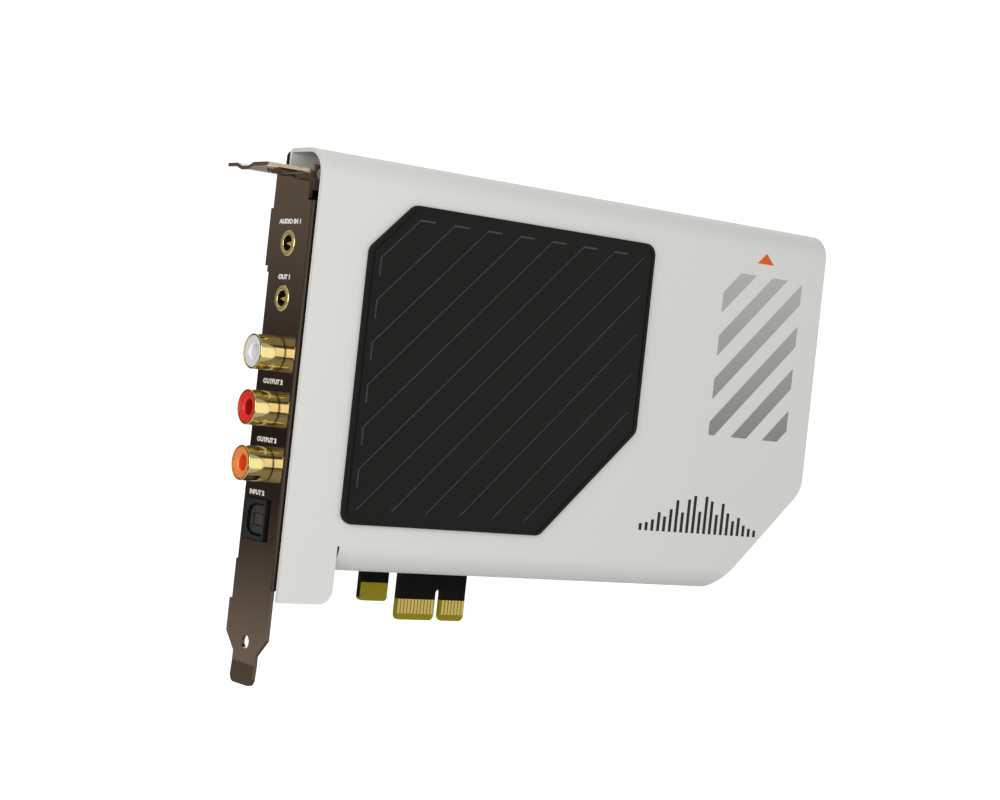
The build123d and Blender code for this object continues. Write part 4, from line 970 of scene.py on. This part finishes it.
# Printed level bars: plain upright bars of rising and falling height in black ink on the shroud, low on the
# right of its front. Their tops follow one swell of a sine with a ripple on it.
SHROUD_FRONT = -16.2
BAR_COUNT = 21
BAR_PITCH = 2.0
BAR_WIDTH = 1.0
BAR_LEAST = 1.6
BAR_RISE = 9.5
BARS_LEFT = 49.5
BARS_FOOT = 27.0
BLACK_INK = (0.008, 0.008, 0.008, 1)
BLACK_INK_THIN = (0.016, 0.016, 0.015, 1)
order = np.arange(BAR_COUNT)
swell = np.sin(np.pi * (order + 0.5) / BAR_COUNT) ** 1.5
ripple = 0.72 + 0.28 * np.cos(2.2 * order)
bar_left = BARS_LEFT + BAR_PITCH * order
bar_height = BAR_LEAST + BAR_RISE * swell * ripple
bars = np.empty((BAR_COUNT, 4, 3))
bars[:, :, 0] = bar_left[:, None] + BAR_WIDTH * np.array([0, 1, 1, 0])
bars[:, :, 1] = SHROUD_FRONT - INK_GAP
bars[:, :, 2] = BARS_FOOT + bar_height[:, None] * np.array([0, 0, 1, 1])
bar_faces = np.arange(4 * BAR_COUNT).reshape(-1, 4).tolist()
mesh = bpy.data.meshes.new("level_bars")
mesh.from_pydata((bars.reshape(-1, 3) / 1000).tolist(), [], bar_faces)


def black_ink_paint(place, x, y, z):
    """Black ink, thinner in specks."""
    speck = noise(place, 6.0, 3.0)
    return {
        "Base Color": speck.mix(BLACK_INK, BLACK_INK_THIN),
        "Roughness": 0.45 + 0.1 * speck,
        "Specular IOR Level": 0.25,
    }


piece(mesh, finish("black_ink", black_ink_paint))

# Studio: a white floor well below the card, a pale room and a soft key from the left front. Out of view
# stand a dark card and a dark curtain that the bracket mirrors, and a pale card on the right that only
# mirrored light comes from.
SIGHT = (0.6, 0.8, 0.0)
FLOOR_HALF = 30.0
FLOOR_Z = -0.30
FLOOR_NEAR = (0.66, 0.66, 0.65, 1)
FLOOR_FAR = (0.80, 0.80, 0.80, 1)
GLOW_START = 707.1
GLOW_FULL = 1183.2
GLOW_NEAR = (0.02, 0.02, 0.02, 1)
GLOW_FRONT = (0.26, 0.26, 0.26, 1)
GLOW_BEHIND = (0.62, 0.62, 0.62, 1)
BEHIND_FULL = 700.0
CARD_LINE = np.array([0.8, 0.6, 0.0])
CARD_LOW = -60.0
CARD_SPAN = 220.0
CARD_SHADES = [
    (0.00, 0.33),
    (0.10, 0.22),
    (0.20, 0.105),
    (0.29, 0.05),
    (0.44, 0.034),
    (0.545, 0.055),
    (0.64, 0.10),
    (0.73, 0.15),
    (0.80, 0.19),
    (1.00, 0.24),
]
CURTAIN_RADIUS = 850.0
CURTAIN_ENDS = (100, 242)
CURTAIN_FOOT = -299.0
CURTAIN_TOP = 900.0
CURTAIN_STEPS = 40
CURTAIN_BROWN = (0.125, 0.108, 0.096, 1)
PALE_WHITE = (1.15, 1.12, 1.05, 1)


def studio_sheet(mesh, paint):
    """Put a sheet of the studio, outside the part, into the scene with its own material."""
    mesh.materials.append(finish(mesh.name, paint))
    made = in_scene(mesh.name, mesh)
    return made


def four_corners(name, corners):
    """A flat mesh of one face, from four corners in metres."""
    mesh = bpy.data.meshes.new(name)
    mesh.from_pydata([tuple(corner) for corner in corners], [], [(0, 1, 2, 3)])
    return mesh


def upright_card(name, foot, half_width, height, paint):
    """A card that stands on the middle of its foot, across the line of sight, and casts no shadow."""
    foot = np.array(foot)
    along = CARD_LINE * half_width
    up = np.array([0.0, 0.0, height])
    corners = [foot - along, foot + along, foot + along + up, foot - along + up]
    made = studio_sheet(four_corners(name, corners), paint)
    made.visible_camera = False
    made.visible_shadow = False
    return made


def glow(colour):
    """A surface that gives off this colour and mirrors nothing."""
    return {
        "Base Color": (0, 0, 0, 1),
        "Roughness": 1.0,
        "Specular IOR Level": 0.0,
        "Emission Color": colour,
        "Emission Strength": 1.0,
    }


def floor_white(place, x, y, z):
    """White near the card, with a glow far from it that is stronger behind the card."""
    far = (x * x + y * y).step(GLOW_START ** 2, GLOW_FULL ** 2)
    behind = (SIGHT[0] * x + SIGHT[1] * y).step(0.0, BEHIND_FULL)
    return {
        "Base Color": far.mix(FLOOR_NEAR, FLOOR_FAR),
        "Roughness": 0.9,
        "Emission Color": far.mix(GLOW_NEAR, behind.mix(GLOW_FRONT, GLOW_BEHIND)),
        "Emission Strength": 1.0,
    }


def dark_card_grey(place, x, y, z):
    """Brownish greys that change with height."""
    stops = [(position, (0.93 * shade, 0.80 * shade, 0.72 * shade, 1)) for position, shade in CARD_SHADES]
    return glow(place.node("ValToRGB", {"stops": stops}, {"Fac": (z - CARD_LOW) / CARD_SPAN}))


def curtain_brown(place, x, y, z):
    """One dark brown all over."""
    return glow(CURTAIN_BROWN)


def pale_card_white(place, x, y, z):
    """One warm white all over."""
    return glow(PALE_WHITE)


floor_corners = FLOOR_HALF * np.array([(-1, -1, 0), (1, -1, 0), (1, 1, 0), (-1, 1, 0)]) + (0, 0, FLOOR_Z)
studio_sheet(four_corners("floor", floor_corners), floor_white)
upright_card("dark_card", (-0.30, 0.32, -0.28), half_width=0.34, height=0.75, paint=dark_card_grey)
pale_card = upright_card(
    "pale_card", (0.25, -0.44, -0.22), half_width=0.22, height=0.56, paint=pale_card_white
)
pale_card.visible_diffuse = False

# The curtain stands on part of a circle round the card's bracket end.
sweep = np.radians(np.linspace(*CURTAIN_ENDS, CURTAIN_STEPS))
hung = np.empty((1, 2, CURTAIN_STEPS, 3))
hung[..., 0] = CURTAIN_RADIUS * np.cos(sweep)
hung[..., 1] = CURTAIN_RADIUS * np.sin(sweep)
hung[..., 2] = np.array([[CURTAIN_FOOT], [CURTAIN_TOP]])
curtain = studio_sheet(joined_grids("dark_curtain", hung), curtain_brown)
curtain.visible_camera = False
curtain.visible_diffuse = False
curtain.visible_shadow = False

# The room is brighter behind the card and in a band at eye level.
ROOM_DIM = 0.45
ROOM_RISE = 0.75
BAND_SHARE = 0.36
room = bpy.data.worlds.new("room")
bpy.context.scene.world = room
room.use_nodes = True
room.node_tree.nodes.clear()
start = Signal(room.node_tree)
towards = start.node("TexCoord", output="Generated")
back_wall = towards.node(
    "VectorMath", {"operation": "DOT_PRODUCT"}, {0: towards, 1: SIGHT}, output="Value"
)
elevation = towards.node("SeparateXYZ", {}, {"Vector": towards}).out("Z")
band = 1 - abs(elevation).step(0.0, 0.22)
brightness = ROOM_DIM + ROOM_RISE * (back_wall.step(0.1, 0.75) | BAND_SHARE * band)
wall = start.node("Background", {}, {"Color": (1, 1, 1, 1), "Strength": brightness})
start.node("OutputWorld", {}, {"Surface": wall})

# The key is a square soft box that faces the card.
KEY_PLACE = np.array([-0.42, -0.30, 0.13])
KEY_AIM = np.array([0.0, 0.0, 0.06])
away = (KEY_PLACE - KEY_AIM) / np.linalg.norm(KEY_PLACE - KEY_AIM)
side = np.cross((0, 0, 1), away)
side /= np.linalg.norm(side)
key_pose = np.eye(4)
key_pose[:3, :3] = np.column_stack((side, np.cross(away, side), away))
key_pose[:3, 3] = KEY_PLACE
lamp = bpy.data.lights.new("key", "AREA")
lamp.energy = 1.28
lamp.size = 0.42
key = in_scene("key", lamp)
key.matrix_world = Matrix(key_pose.tolist())
key.visible_camera = False

# Camera at the photograph's place, given by the picture's right, down and forward directions. Its place and
# lens were fitted to the bracket, the edge contacts and the sleeves.
RIGHT = np.array([0.79770996, -0.59347079, 0.10701051])
DOWN = np.array([0.08394313, -0.0664451, -0.99425278])
FORWARD = np.array([0.59717031, 0.80210814, -0.00318612])
CAMERA_PLACE = (-0.32105, -0.448799, 0.058183)
pose = np.eye(4)
pose[:3, :3] = np.column_stack((RIGHT, -DOWN, -FORWARD))
pose[:3, 3] = CAMERA_PLACE
lens = bpy.data.cameras.new("camera")
lens.sensor_width = 36.0
lens.lens = 79.622
lens.clip_start = 0.01
camera = in_scene("camera", lens)
camera.matrix_world = Matrix(pose.tolist())
bpy.context.scene.camera = camera
bpy.context.scene.view_settings.view_transform = "Standard"
